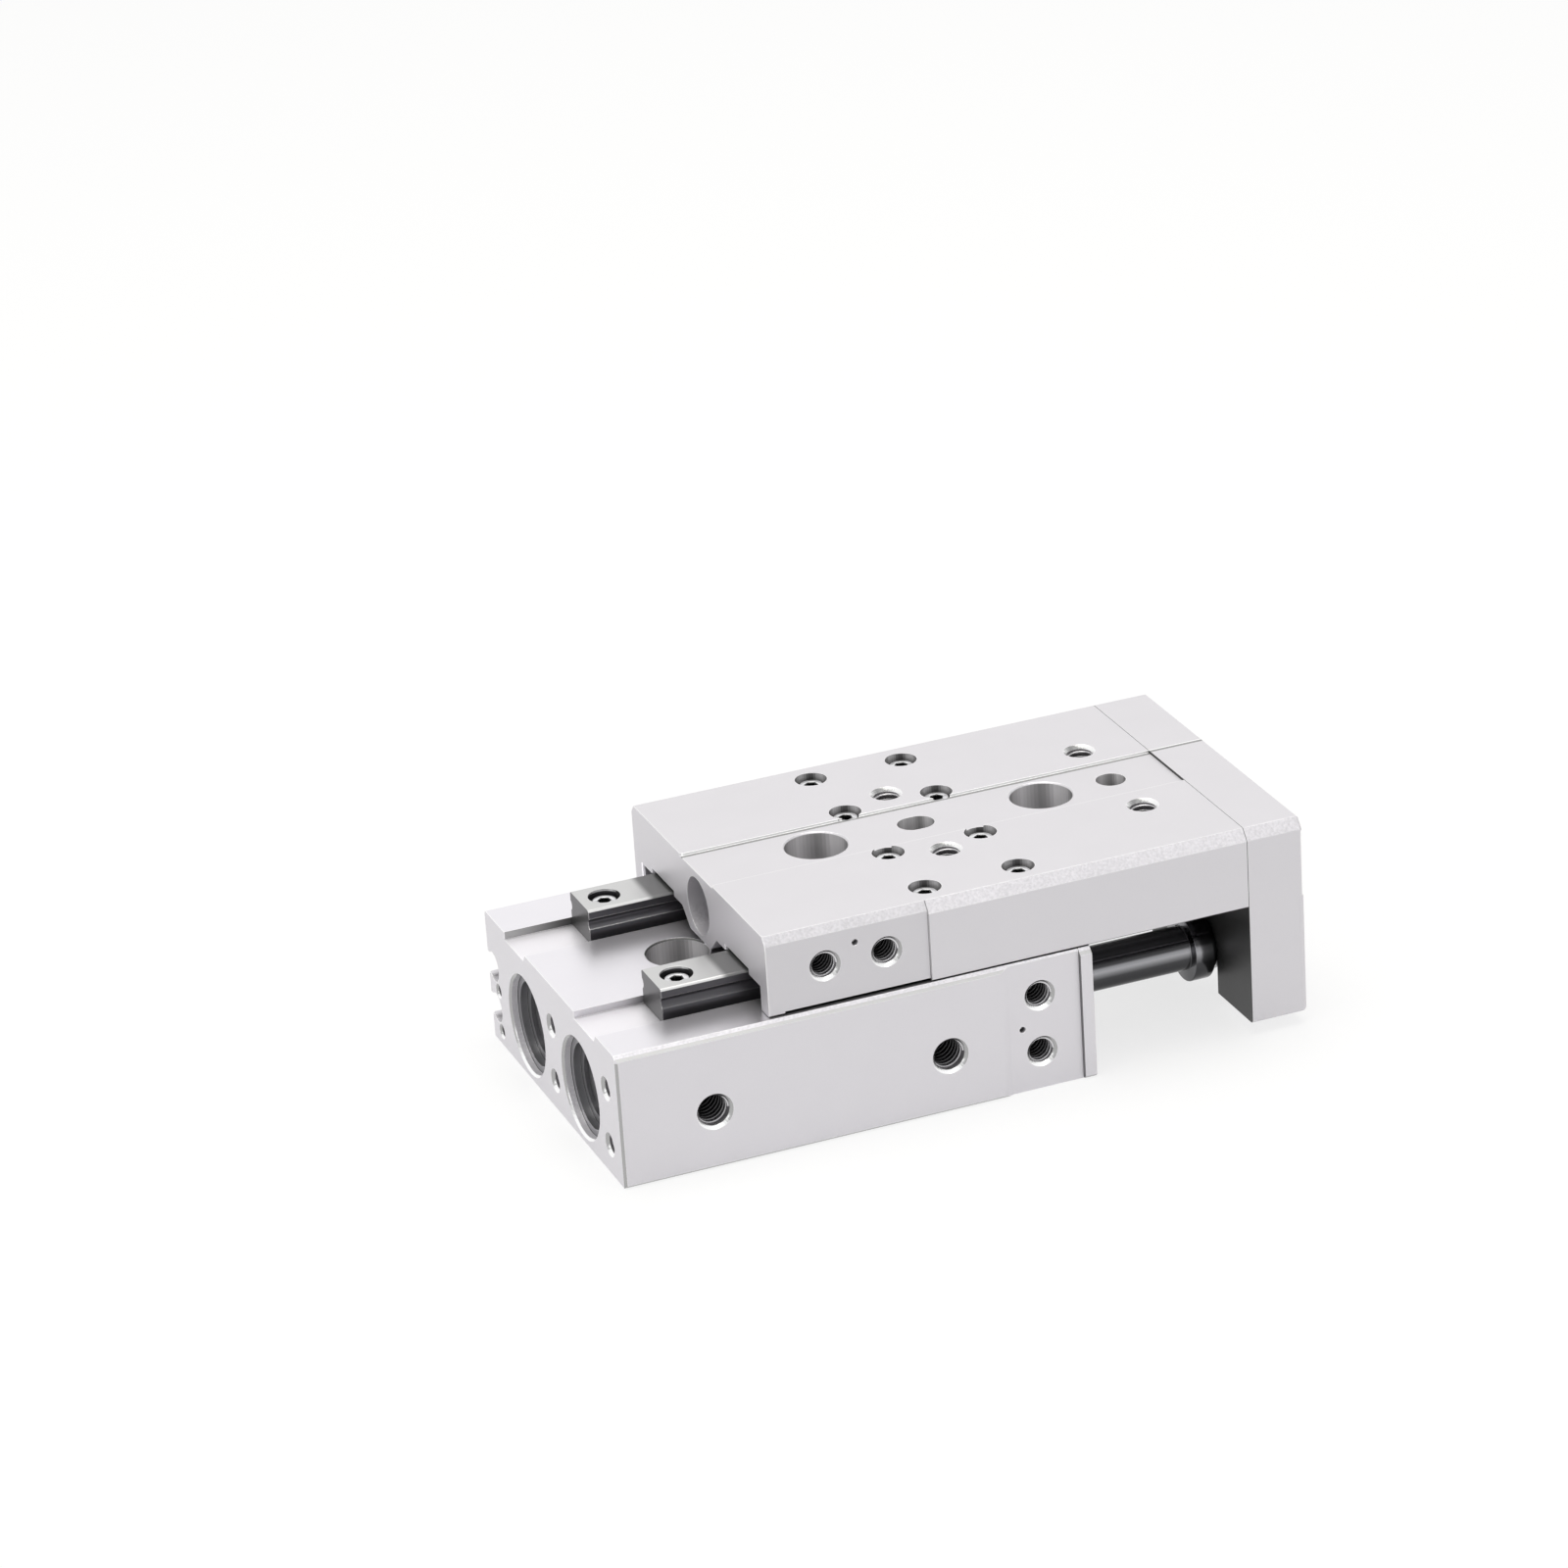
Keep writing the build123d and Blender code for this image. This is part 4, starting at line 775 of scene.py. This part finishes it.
def make_screw_finish():
    """Black steel with bright faces across the screw's own axis, which is X or Z here."""
    # The edge settings paint a highlight along the screws' edges.
    material = finish(
        "screw_steel", (0.035, 0.035, 0.037), 0.9, 0.3, grain=0.2, edge=0.7, edge_width=0.08, edge_highlight_tone=0.6
    )
    tree, shader, black = parts_of(material)
    facing = facing_of(tree)
    across = maths(tree, "GREATER_THAN", maths(tree, "MAXIMUM", facing["X"], facing["Z"]), ALONG_AXIS)
    openness = use_group(tree, hollow_group, Reach=1.5, Gap_reach=0.1, Power=2.0)["Open"]
    bright = maths(tree, "MULTIPLY", across, openness)
    tree.links.new(mix_colors(tree, bright, black, HEAD_FACE_COLOR), shader.inputs["Base Color"])
    return material


screw_steel = make_screw_finish()
print("finish", screw_steel.name)

# %% [markdown]
# ## The guide rails' finish
# The rails are hardened steel. Their tops are ground bright, while the sides keep a black finish with the
# ball tracks ground into them. One material does both: it asks how high each point lies. Near the table the
# ground top is darkened by a painted reflection of the table, and the edges get painted highlights.

# %% Rail steel
GROUND_DEPTH = 0.3 * MM
RAIL_END_TONE = 0.11
# The ground top's own tone, and its tone in the painted reflection of the table near it.
RAIL_TOP_AND_REFLECTION_TONES = (0.6, 0.2)
RAIL_REFLECTION_FADE = (-16.4 * MM, -15.2 * MM)


def make_rail_finish():
    """Black steel whose top is ground bright, darkened near the table by a painted reflection of it."""
    material = finish(
        "rail_steel", (0.075, 0.073, 0.08), 0.7, 0.3, grain=0.2, edge=1.0, edge_width=0.2, edge_highlight_tone=0.85
    )
    tree, shader, black = parts_of(material)
    where = Where(material)
    ground_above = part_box("rail_back")[1].z - GROUND_DEPTH
    upward = maths(tree, "GREATER_THAN", where.place["Z"], ground_above)
    # Painted reflection: the ground top darkens towards the table.
    along = remap(tree, where.place["X"], *RAIL_REFLECTION_FADE, *RAIL_TOP_AND_REFLECTION_TONES, interpolation_type="SMOOTHSTEP")
    tree.links.new(mix_colors(tree, upward, black, along), shader.inputs["Base Color"])
    tint_where(material, where.mask(facing=REARWARD), RAIL_END_TONE)
    return material


rail_steel = make_rail_finish()
print("finish", rail_steel.name)

# %% [markdown]
# ## Easing the edges
# No machined edge is perfectly sharp: a file or a tumbler takes a tenth or two off it, and that narrow
# strip catches the light. A Bevel modifier makes it, but it needs a clean mesh. The frame's meshes are
# loose triangles, so a copy is merged, its flat triangles are joined into whole faces, and then the
# edges are bevelled.

# %% Eased copies of the solids
EASE = 0.12
FLAT_ANGLE = radians(1.0)
SHARP_ANGLE = radians(35)
MERGE_DISTANCE = 0.0005 * MM
body_of_node = {n: body for body, names in frame["record"]["behaviour"]["bodies"].items() for n in names}
slot_of_node = {entry["node"]: entry["material_slot"] for entry in frame["record"]["subparts"]}


def make_object(name, mesh, material):
    """A linked object with one material."""
    mesh.materials.clear()
    mesh.materials.append(material)
    made = bpy.data.objects.new(name, mesh)
    scene.collection.objects.link(made)
    return made


def applied(obj):
    """The object with its modifiers made into plain mesh."""
    bpy.context.view_layer.update()
    depsgraph = bpy.context.evaluated_depsgraph_get()
    mesh = bpy.data.meshes.new_from_object(obj.evaluated_get(depsgraph))
    obj.modifiers.clear()
    obj.data = mesh
    return obj


def eased(node_name, material, width=EASE):
    """A bevelled copy that stands for one CAD node."""
    solid = bmesh.new()
    solid.from_mesh(nodes[node_name].data)
    bmesh.ops.remove_doubles(solid, verts=solid.verts, dist=MERGE_DISTANCE)
    bmesh.ops.dissolve_limit(
        solid, angle_limit=FLAT_ANGLE, use_dissolve_boundaries=False, verts=solid.verts, edges=solid.edges
    )
    mesh = bpy.data.meshes.new(node_name + "_finished")
    solid.to_mesh(mesh)
    solid.free()
    mesh.shade_smooth()
    piece = make_object(node_name + "_finished", mesh, material)
    bevel = piece.modifiers.new("ease", "BEVEL")
    bevel.width = width * MM
    bevel.segments = 2
    bevel.limit_method = "ANGLE"
    bevel.angle_limit = SHARP_ANGLE
    bevel.use_clamp_overlap = True
    even = piece.modifiers.new("even", "WEIGHTED_NORMAL")
    even.mode = "FACE_AREA_WITH_ANGLE"
    even.weight = 100
    applied(piece)
    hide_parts(node_name)
    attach(piece, body_of_node[node_name])
    return piece


ANODISED_PIECES = {
    "slide_body": anodised_body,
    "front_plate": anodised_body,
    "table": anodised_table,
    "end_plate": anodised_table,
}
for name, material in ANODISED_PIECES.items():
    piece = eased(name, material)
    print(piece.name, len(piece.data.polygons), "faces")
for name in ("rail_back", "rail_front"):
    eased(name, rail_steel, width=0.08)

# %% [markdown]
# ## The rods
# The rods are turned and polished, so they have to be rounder than the frame's triangles. Each rod's
# outline is read from its own solid, as steps of radius along X, and spun again with far more sides.

# %% Spin a profile
def lathe(name, rings, sides):
    """A closed mesh about Z from rings of (height, radius) in mm. A radius may be a function of the angle."""
    mesh = bmesh.new()
    loops = []
    for height, radius in rings:
        loop = []
        for i in range(sides):
            angle = 2 * pi * i / sides
            reach = (radius(angle) if callable(radius) else radius) * MM
            loop.append(mesh.verts.new((reach * cos(angle), reach * sin(angle), height * MM)))
        loops.append(loop)
    for low, high in zip(loops, loops[1:]):
        for i in range(sides):
            j = (i + 1) % sides
            mesh.faces.new((low[i], low[j], high[j], high[i]))
    mesh.faces.new(list(reversed(loops[0])))
    mesh.faces.new(loops[-1])
    bmesh.ops.recalc_face_normals(mesh, faces=mesh.faces)
    data = bpy.data.meshes.new(name)
    mesh.to_mesh(data)
    mesh.free()
    return data


def smooth_below(mesh, angle):
    """Smooth faces that keep the edges sharper than an angle."""
    mesh.shade_smooth()
    mesh.set_sharp_from_angle(angle=angle)


# %% Turn the rods
ROD_SIDES = 96
ROD_EASE = 0.25
COLLAR_CHAMFER = 0.8
ALONG_X = Matrix.Rotation(radians(90), 4, "Y")


def turned_profile(node_name):
    """The steps of a solid turned about an axis along X: its axis and its (x, radius) rings."""
    low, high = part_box(node_name)
    axis_y, axis_z = (low.y + high.y) / 2, (low.z + high.z) / 2
    steps = {}
    for vertex in nodes[node_name].data.vertices:
        distance = ((vertex.co.y - axis_y) ** 2 + (vertex.co.z - axis_z) ** 2) ** 0.5
        steps.setdefault(round(vertex.co.x / MM, 3), set()).add(round(distance / MM, 2))
    rings = []
    last = None
    for x in sorted(steps):
        radii = sorted(steps[x], reverse=last is not None and last != min(steps[x]))
        rings += [(x, radius) for radius in radii]
        last = radii[-1]
    return axis_y, axis_z, rings


for side in ("back", "front"):
    node_name = "piston_rod_" + side
    axis_y, axis_z, rings = turned_profile(node_name)
    widest = max(radius for x, radius in rings)
    collar_end = max(i for i, (x, radius) in enumerate(rings) if radius == widest)
    x_end = rings[collar_end][0]
    rings[collar_end : collar_end + 1] = [(x_end - COLLAR_CHAMFER, widest), (x_end, widest - COLLAR_CHAMFER)]
    mesh = lathe(node_name + "_turned", rings, ROD_SIDES)
    mesh.transform(Matrix.Translation((0, axis_y, axis_z)) @ ALONG_X)
    rod = make_object(node_name + "_turned", mesh, rod_painted_reflection)
    bevel = rod.modifiers.new("ease", "BEVEL")
    bevel.width = ROD_EASE * MM
    bevel.segments = 3
    bevel.limit_method = "ANGLE"
    applied(rod)
    smooth_below(rod.data, SHARP_ANGLE)
    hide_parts(node_name)
    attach(rod, body_of_node[node_name])
    print(rod.name, rings)

# %% [markdown]
# ## Threads
# A tapped hole shows a helix of ridges. Modelling one is simple: a coil with a round section, half of it
# sunk in the wall. Every hole in a group has the same thread, so Geometry Nodes puts one coil at each
# mouth and points it inwards. The record already says where the holes are and how wide, so nothing is
# measured twice.

# %% Helpers for Geometry Nodes
def new_geometry_tree(name, inputs):
    """An empty Geometry Nodes tree with named inputs, and the sockets that lead in."""
    tree = bpy.data.node_groups.new(name, "GeometryNodeTree")
    tree.is_modifier = True
    for label, kind in inputs.items():
        tree.interface.new_socket(label, in_out="INPUT", socket_type="NodeSocket" + kind)
    return tree, node(tree, "NodeGroupInput").outputs


def dress_and_leave(tree, geometry, material, label):
    """Gives real geometry a material and leads it out of the tree."""
    tree.interface.new_socket(label, in_out="OUTPUT", socket_type="NodeSocketGeometry")
    dressed = node(tree, "GeometryNodeSetMaterial", {"Geometry": geometry, "Material": material})
    node(tree, "NodeGroupOutput", {label: dressed.outputs["Geometry"]})


def set_inputs(modifier, tree, values):
    """Sets a modifier's inputs, found by name, through their identifiers."""
    identifiers = {item.name: item.identifier for item in tree.interface.items_tree if item.in_out == "INPUT"}
    for label, value in values.items():
        modifier[identifiers[label]] = value


# %% The thread tree
COIL_STEPS = 28
RIDGE_STEPS = 8


def make_thread_tree():
    """Geometry Nodes: a helical ridge that starts at each point and runs along the inward direction."""
    inputs = {"Mouths": "Geometry", "Radius": "Float", "Pitch": "Float", "Turns": "Float", "Ridge": "Float"}
    inputs |= {"Inward": "Vector", "Material": "Material"}
    tree, entry = new_geometry_tree("threads_in_holes", inputs)
    inputs = {"Resolution": COIL_STEPS, "Rotations": entry["Turns"]}
    inputs |= {"Start Radius": entry["Radius"], "End Radius": entry["Radius"]}
    inputs |= {"Height": maths(tree, "MULTIPLY", entry["Pitch"], entry["Turns"])}
    coil = node(tree, "GeometryNodeCurveSpiral", inputs).outputs["Curve"]
    way = node(tree, "GeometryNodeSplineParameter").outputs["Length"]
    inputs = {"Name": "depth", "Geometry": coil, "Value": way}
    marked = node(tree, "GeometryNodeStoreNamedAttribute", inputs, data_type="FLOAT", domain="POINT")
    inputs = {"Resolution": RIDGE_STEPS, "Radius": entry["Ridge"]}
    section = node(tree, "GeometryNodeCurvePrimitiveCircle", inputs, mode="RADIUS").outputs["Curve"]
    inputs = {"Fill Caps": True, "Curve": marked.outputs["Geometry"], "Profile Curve": section}
    ridge = node(tree, "GeometryNodeCurveToMesh", inputs).outputs["Mesh"]
    aim = node(tree, "FunctionNodeAlignRotationToVector", {"Vector": entry["Inward"]}, axis="Z")
    inputs = {"Points": entry["Mouths"], "Instance": ridge, "Rotation": aim.outputs["Rotation"]}
    spread = node(tree, "GeometryNodeInstanceOnPoints", inputs).outputs["Instances"]
    real = node(tree, "GeometryNodeRealizeInstances", {"Geometry": spread}).outputs["Geometry"]
    smooth = node(tree, "GeometryNodeSetShadeSmooth", {"Geometry": real}).outputs["Geometry"]
    dress_and_leave(tree, smooth, entry["Material"], "Threads")
    return tree


thread_tree = make_thread_tree()
print("tree", thread_tree.name, "with", len(thread_tree.nodes), "nodes")

# %% Where the tapped holes are
def hole_mouths(mount):
    """The points of a hole pattern in the record, in metres."""
    centre = Vector(mount["pos_m"])
    across = [i for i in range(3) if abs(mount["axis"][i]) < 0.5]
    places = [centre]
    for i, key in zip(across, ("spacing_x_mm", "spacing_y_mm")):
        if key in mount["dims"]:
            step = Vector((0, 0, 0))
            step[i] = mount["dims"][key] * MM / 2
            places = [place + sign * step for place in places for sign in (-1, 1)]
    return places


# %% Cut the threads
PITCH_OF_RADIUS = {2.1: 0.8, 1.7: 0.7, 1.25: 0.5, 0.8: 0.4}
RIDGE_SHARE = 0.24
MOUTH_DEPTH = {2.1: 0.45, 1.7: 0.42, 1.25: 0.45, 0.8: 0.3}
THREAD_SHADE_FADE = (0.4, 4.8)
DEEP_THREAD_SHADE = (0.10, 0.098, 0.102, 1)
THREADED = {
    "port_rear": ("body", 6.0),
    "port_front": ("body", 6.0),
    "base_screws": ("body", 9.0),
    "body_side_taps": ("body", 5.2),
    "rear_taps": ("body", 7.2),
    "rear_small_taps": ("body", 7.2),
    "table_screws": ("carriage", 2.8),
    "table_side_taps": ("carriage", 5.2),
    "end_plate_taps": ("carriage", 5.2),
}


def make_thread_finish():
    """Cut aluminium with painted shade that deepens with the turns of the thread, as shade does down a hole.
    """
    material = finish("thread_aluminium", (0.66, 0.65, 0.67), 0.7, 0.25, grain=0.3)
    tree, shader, cut = parts_of(material)
    along = node(tree, "ShaderNodeAttribute", attribute_name="depth").outputs["Fac"]
    # Painted shade: the thread darkens with its depth in the hole.
    thread_shade_share = remap(tree, maths(tree, "DIVIDE", along, 2 * pi * MM), *THREAD_SHADE_FADE, 0.0, 1.0)
    tree.links.new(mix_colors(tree, thread_shade_share, cut, DEEP_THREAD_SHADE), shader.inputs["Base Color"])
    return material


thread_finish = make_thread_finish()
mounts = {mount["name"]: mount for mount in frame["record"]["mounts"]}
for mount_name, (body, depth) in THREADED.items():
    mount = mounts[mount_name]
    outward = Vector(mount["axis"])
    hole_radius = mount["dims"].get("r_mm", mount["dims"].get("hole_r_mm"))
    pitch = PITCH_OF_RADIUS[hole_radius]
    start = MOUTH_DEPTH[hole_radius] * MM
    mesh = bpy.data.meshes.new(mount_name + "_thread")
    mesh.from_pydata([mouth - outward * start for mouth in hole_mouths(mount)], [], [])
    threads = make_object(mount_name + "_thread", mesh, thread_finish)
    cutter = threads.modifiers.new("threads", "NODES")
    cutter.node_group = thread_tree
    values = {"Radius": hole_radius * MM, "Pitch": pitch * MM, "Turns": depth / pitch}
    values |= {"Ridge": pitch * RIDGE_SHARE * MM, "Inward": -outward, "Material": thread_finish}
    set_inputs(cutter, thread_tree, values)
    applied(threads)
    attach(threads, body)
    print(threads.name, len(threads.data.polygons), "faces")

# %% [markdown]
# ## Screws
# The frame's screws are plain. A real cap screw has a rounded shoulder, a knurled side and a hexagon
# socket with a drilled bottom, all of which a lathe profile can give if the radius may change with the
# angle. One screw is made for each kind. Geometry Nodes then sets it in every place where the frame has
# one.

# %% A screw
def hexagon(across_flats):
    """The radius of a hexagon as a function of the angle."""
    return lambda angle: across_flats / 2 / cos(angle % (pi / 3) - pi / 6)


def knurl(radius, depth, ripples=24):
    """A radius with ripples."""
    return lambda angle: radius - depth / 2 + depth / 2 * cos(ripples * angle)


DRILL_TIP = 0.02
SOCKET_CHAMFER = (0.06, 1.12)
HEAD_RIM = 0.08
KNURL_DEPTH = 0.06
SHANK_CHAMFER = 0.15


def screw_profile(kind, head_radius, length):
    """The rings of a screw whose flat top lies at height 0 and whose shank points down, in millimetres."""
    across, socket_depth = kind["across"], kind["socket"]
    shank, shoulder = kind["shank"], kind["shoulder"]
    socket = [
        (-socket_depth - across / 5, DRILL_TIP),
        (-socket_depth, hexagon(across)),
        (-SOCKET_CHAMFER[0], hexagon(across)),
        (0.0, hexagon(across * SOCKET_CHAMFER[1])),
    ]
    if kind["flat"]:
        foot = shank - head_radius - HEAD_RIM
        head = [(0.0, head_radius - 0.03), (-HEAD_RIM, head_radius), (foot, shank)]
    else:
        height = kind["height"]
        head = [(0.0, head_radius - shoulder)]
        for step in (30, 60, 90):
            turn = radians(step)
            head.append((-shoulder * (1 - cos(turn)), head_radius - shoulder * (1 - sin(turn))))
        head += [
            (-shoulder - 0.05, knurl(head_radius, KNURL_DEPTH)),
            (-height + 0.15, knurl(head_radius, KNURL_DEPTH)),
            (-height + 0.05, head_radius - 0.1),
            (-height, head_radius - 0.15),
            (-height, shank),
        ]
    return socket + head + [(-length + SHANK_CHAMFER, shank), (-length, shank - SHANK_CHAMFER)]


# %% The screw tree
SPIN_SEED = 7


def make_screw_tree():
    """Geometry Nodes: one screw at each point, its own Z turned outwards."""
    inputs = {"Places": "Geometry", "Screw": "Object", "Outward": "Vector", "Material": "Material"}
    tree, entry = new_geometry_tree("screws_in_place", inputs)
    inputs = {"As Instance": True, "Object": entry["Screw"]}
    model = node(tree, "GeometryNodeObjectInfo", inputs).outputs["Geometry"]
    aim = node(tree, "FunctionNodeAlignRotationToVector", {"Vector": entry["Outward"]}, axis="Z")
    turn = node(tree, "FunctionNodeRandomValue", {"Max": 2 * pi, "Seed": SPIN_SEED}, data_type="FLOAT")
    inputs = {"Axis": (0, 0, 1), "Angle": turn.outputs["Value"]}
    spin = node(tree, "FunctionNodeAxisAngleToRotation", inputs).outputs["Rotation"]
    inputs = {"Rotation": aim.outputs["Rotation"], "Rotate By": spin}
    both = node(tree, "FunctionNodeRotateRotation", inputs, rotation_space="LOCAL").outputs["Rotation"]
    inputs = {"Points": entry["Places"], "Instance": model, "Rotation": both}
    spread = node(tree, "GeometryNodeInstanceOnPoints", inputs).outputs["Instances"]
    real = node(tree, "GeometryNodeRealizeInstances", {"Geometry": spread}).outputs["Geometry"]
    dress_and_leave(tree, real, entry["Material"], "Screws")
    return tree


screw_tree = make_screw_tree()
print("tree", screw_tree.name, "with", len(screw_tree.nodes), "nodes")

# %% [markdown]
# A node of the frame can hold several loose solids. Walking from each corner to its neighbours finds
# them one by one, and the box about each one says where its screw stands and how long it is. The boxes
# are sorted by place, so that each screw gets the same random turn in every run.

# %% Loose solids of a node
def solid_boxes(node_name):
    """The low and high corners of each loose solid of a CAD node."""
    solid = bmesh.new()
    solid.from_mesh(nodes[node_name].data)
    bmesh.ops.remove_doubles(solid, verts=solid.verts, dist=MERGE_DISTANCE)
    left = set(solid.verts)
    boxes = []
    while left:
        reached = [left.pop()]
        points = []
        while reached:
            vertex = reached.pop()
            points.append(vertex.co.copy())
            for edge in vertex.link_edges:
                other = edge.other_vert(vertex)
                if other in left:
                    left.remove(other)
                    reached.append(other)
        low = Vector([min(point[i] for point in points) for i in range(3)])
        high = Vector([max(point[i] for point in points) for i in range(3)])
        boxes.append((low, high))
    solid.free()
    return sorted(boxes, key=lambda box: tuple(round(value / MM, 2) for value in box[0]))


# %% Set the screws
KINDS = {
    "M2 cap": dict(flat=False, across=1.5, socket=1.0, shank=0.96, height=2.0, shoulder=0.35),
    "M2 low cap": dict(flat=False, across=1.5, socket=0.85, shank=0.96, height=1.8, shoulder=0.35),
    "M3 cap": dict(flat=False, across=2.5, socket=1.5, shank=1.46, height=3.0, shoulder=0.4),
    "M3 flat": dict(flat=True, across=2.0, socket=0.9, shank=1.4, shoulder=0),
    "M2 flat": dict(flat=True, across=1.3, socket=0.9, shank=0.9, shoulder=0),
}
SCREWS = {
    "rail_screws": ("M2 cap", 2),
    "guide_block_screws": ("M2 low cap", 2),
    "end_plate_screws": ("M3 cap", 0),
    "front_plate_screws": ("M3 flat", 0),
    "front_plate_side_screws": ("M2 flat", 0),
}
SCREW_SIDES = 72
for name, (kind, axis) in SCREWS.items():
    boxes = solid_boxes(name)
    tops = []
    for low, high in boxes:
        top = (low + high) / 2
        top[axis] = high[axis]
        tops.append(top)
    length = (boxes[0][1][axis] - boxes[0][0][axis]) / MM
    head_radius = (boxes[0][1].y - boxes[0][0].y) / 2 / MM
    rings = screw_profile(KINDS[kind], head_radius, length)
    template = make_object(name + "_model", lathe(name + "_model", rings, SCREW_SIDES), screw_steel)
    smooth_below(template.data, SHARP_ANGLE)
    mesh = bpy.data.meshes.new(name + "_set")
    mesh.from_pydata(tops, [], [])
    screws = make_object(name + "_set", mesh, screw_steel)
    setter = screws.modifiers.new("screws", "NODES")
    setter.node_group = screw_tree
    outward = Vector((0, 0, 0))
    outward[axis] = 1
    set_inputs(setter, screw_tree, {"Screw": template, "Outward": outward, "Material": screw_steel})
    applied(screws)
    bpy.data.objects.remove(template)
    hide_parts(name)
    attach(screws, body_of_node[name])
    print(screws.name, len(tops), "screws", round(length, 2), "mm long")

# %% [markdown]
# ## Finishes of the other solids
# The remaining solids keep their own shape and only take a finish.

# %% Dress the frame's own nodes
FINISH_OF_SLOT = {
    "anodised_aluminium": bare_aluminium,
    "bright_steel": bright_steel,
    "rail_steel": spring_steel,
    "rod_steel": rod_painted_reflection,
    "screw_steel": screw_steel,
    "black_rubber": black_rubber,
    "bronze": bronze,
    "dark_plastic": dark_plastic,
    "magnet_black": magnet,
}
# The turned plugs get painted shade in their hollows.
plug_aluminium = finish("turned_aluminium", (0.3, 0.3, 0.31), 0.9, 0.3, grain=0.3, hollow=HOLLOW_SHADE_COLOR)

RING_PITCH = 0.6
RING_RELIEF = 0.5
RING_TONE = (0.3, 0.9)


def turn_rings(material):
    """Adds the rings of a lathe about both bore axes to a finish, as relief and as a faint change of tone."""
    tree, shader, plain = parts_of(material)
    low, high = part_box("head_plug_back")
    axis_y, axis_z = (low.y + high.y) / 2 / MM, (low.z + high.z) / 2 / MM
    height = use_group(tree, rings_group, Axis_Y=axis_y, Axis_Z=axis_z, Pitch=RING_PITCH)["Height"]
    set_relief(material, height, RING_RELIEF)
    change = maths(tree, "MULTIPLY_ADD", height, *RING_TONE)
    tree.links.new(scaled(tree, plain, change), shader.inputs["Base Color"])


turn_rings(plug_aluminium)
for name, solid in nodes.items():
    solid.data.materials.clear()
    turned_piece = name.startswith("head_plug")
    solid.data.materials.append(plug_aluminium if turned_piece else FINISH_OF_SLOT[slot_of_node[name]])
print("dressed", len(nodes), "nodes")

# %% View transform
scene.view_settings.view_transform = "Standard"
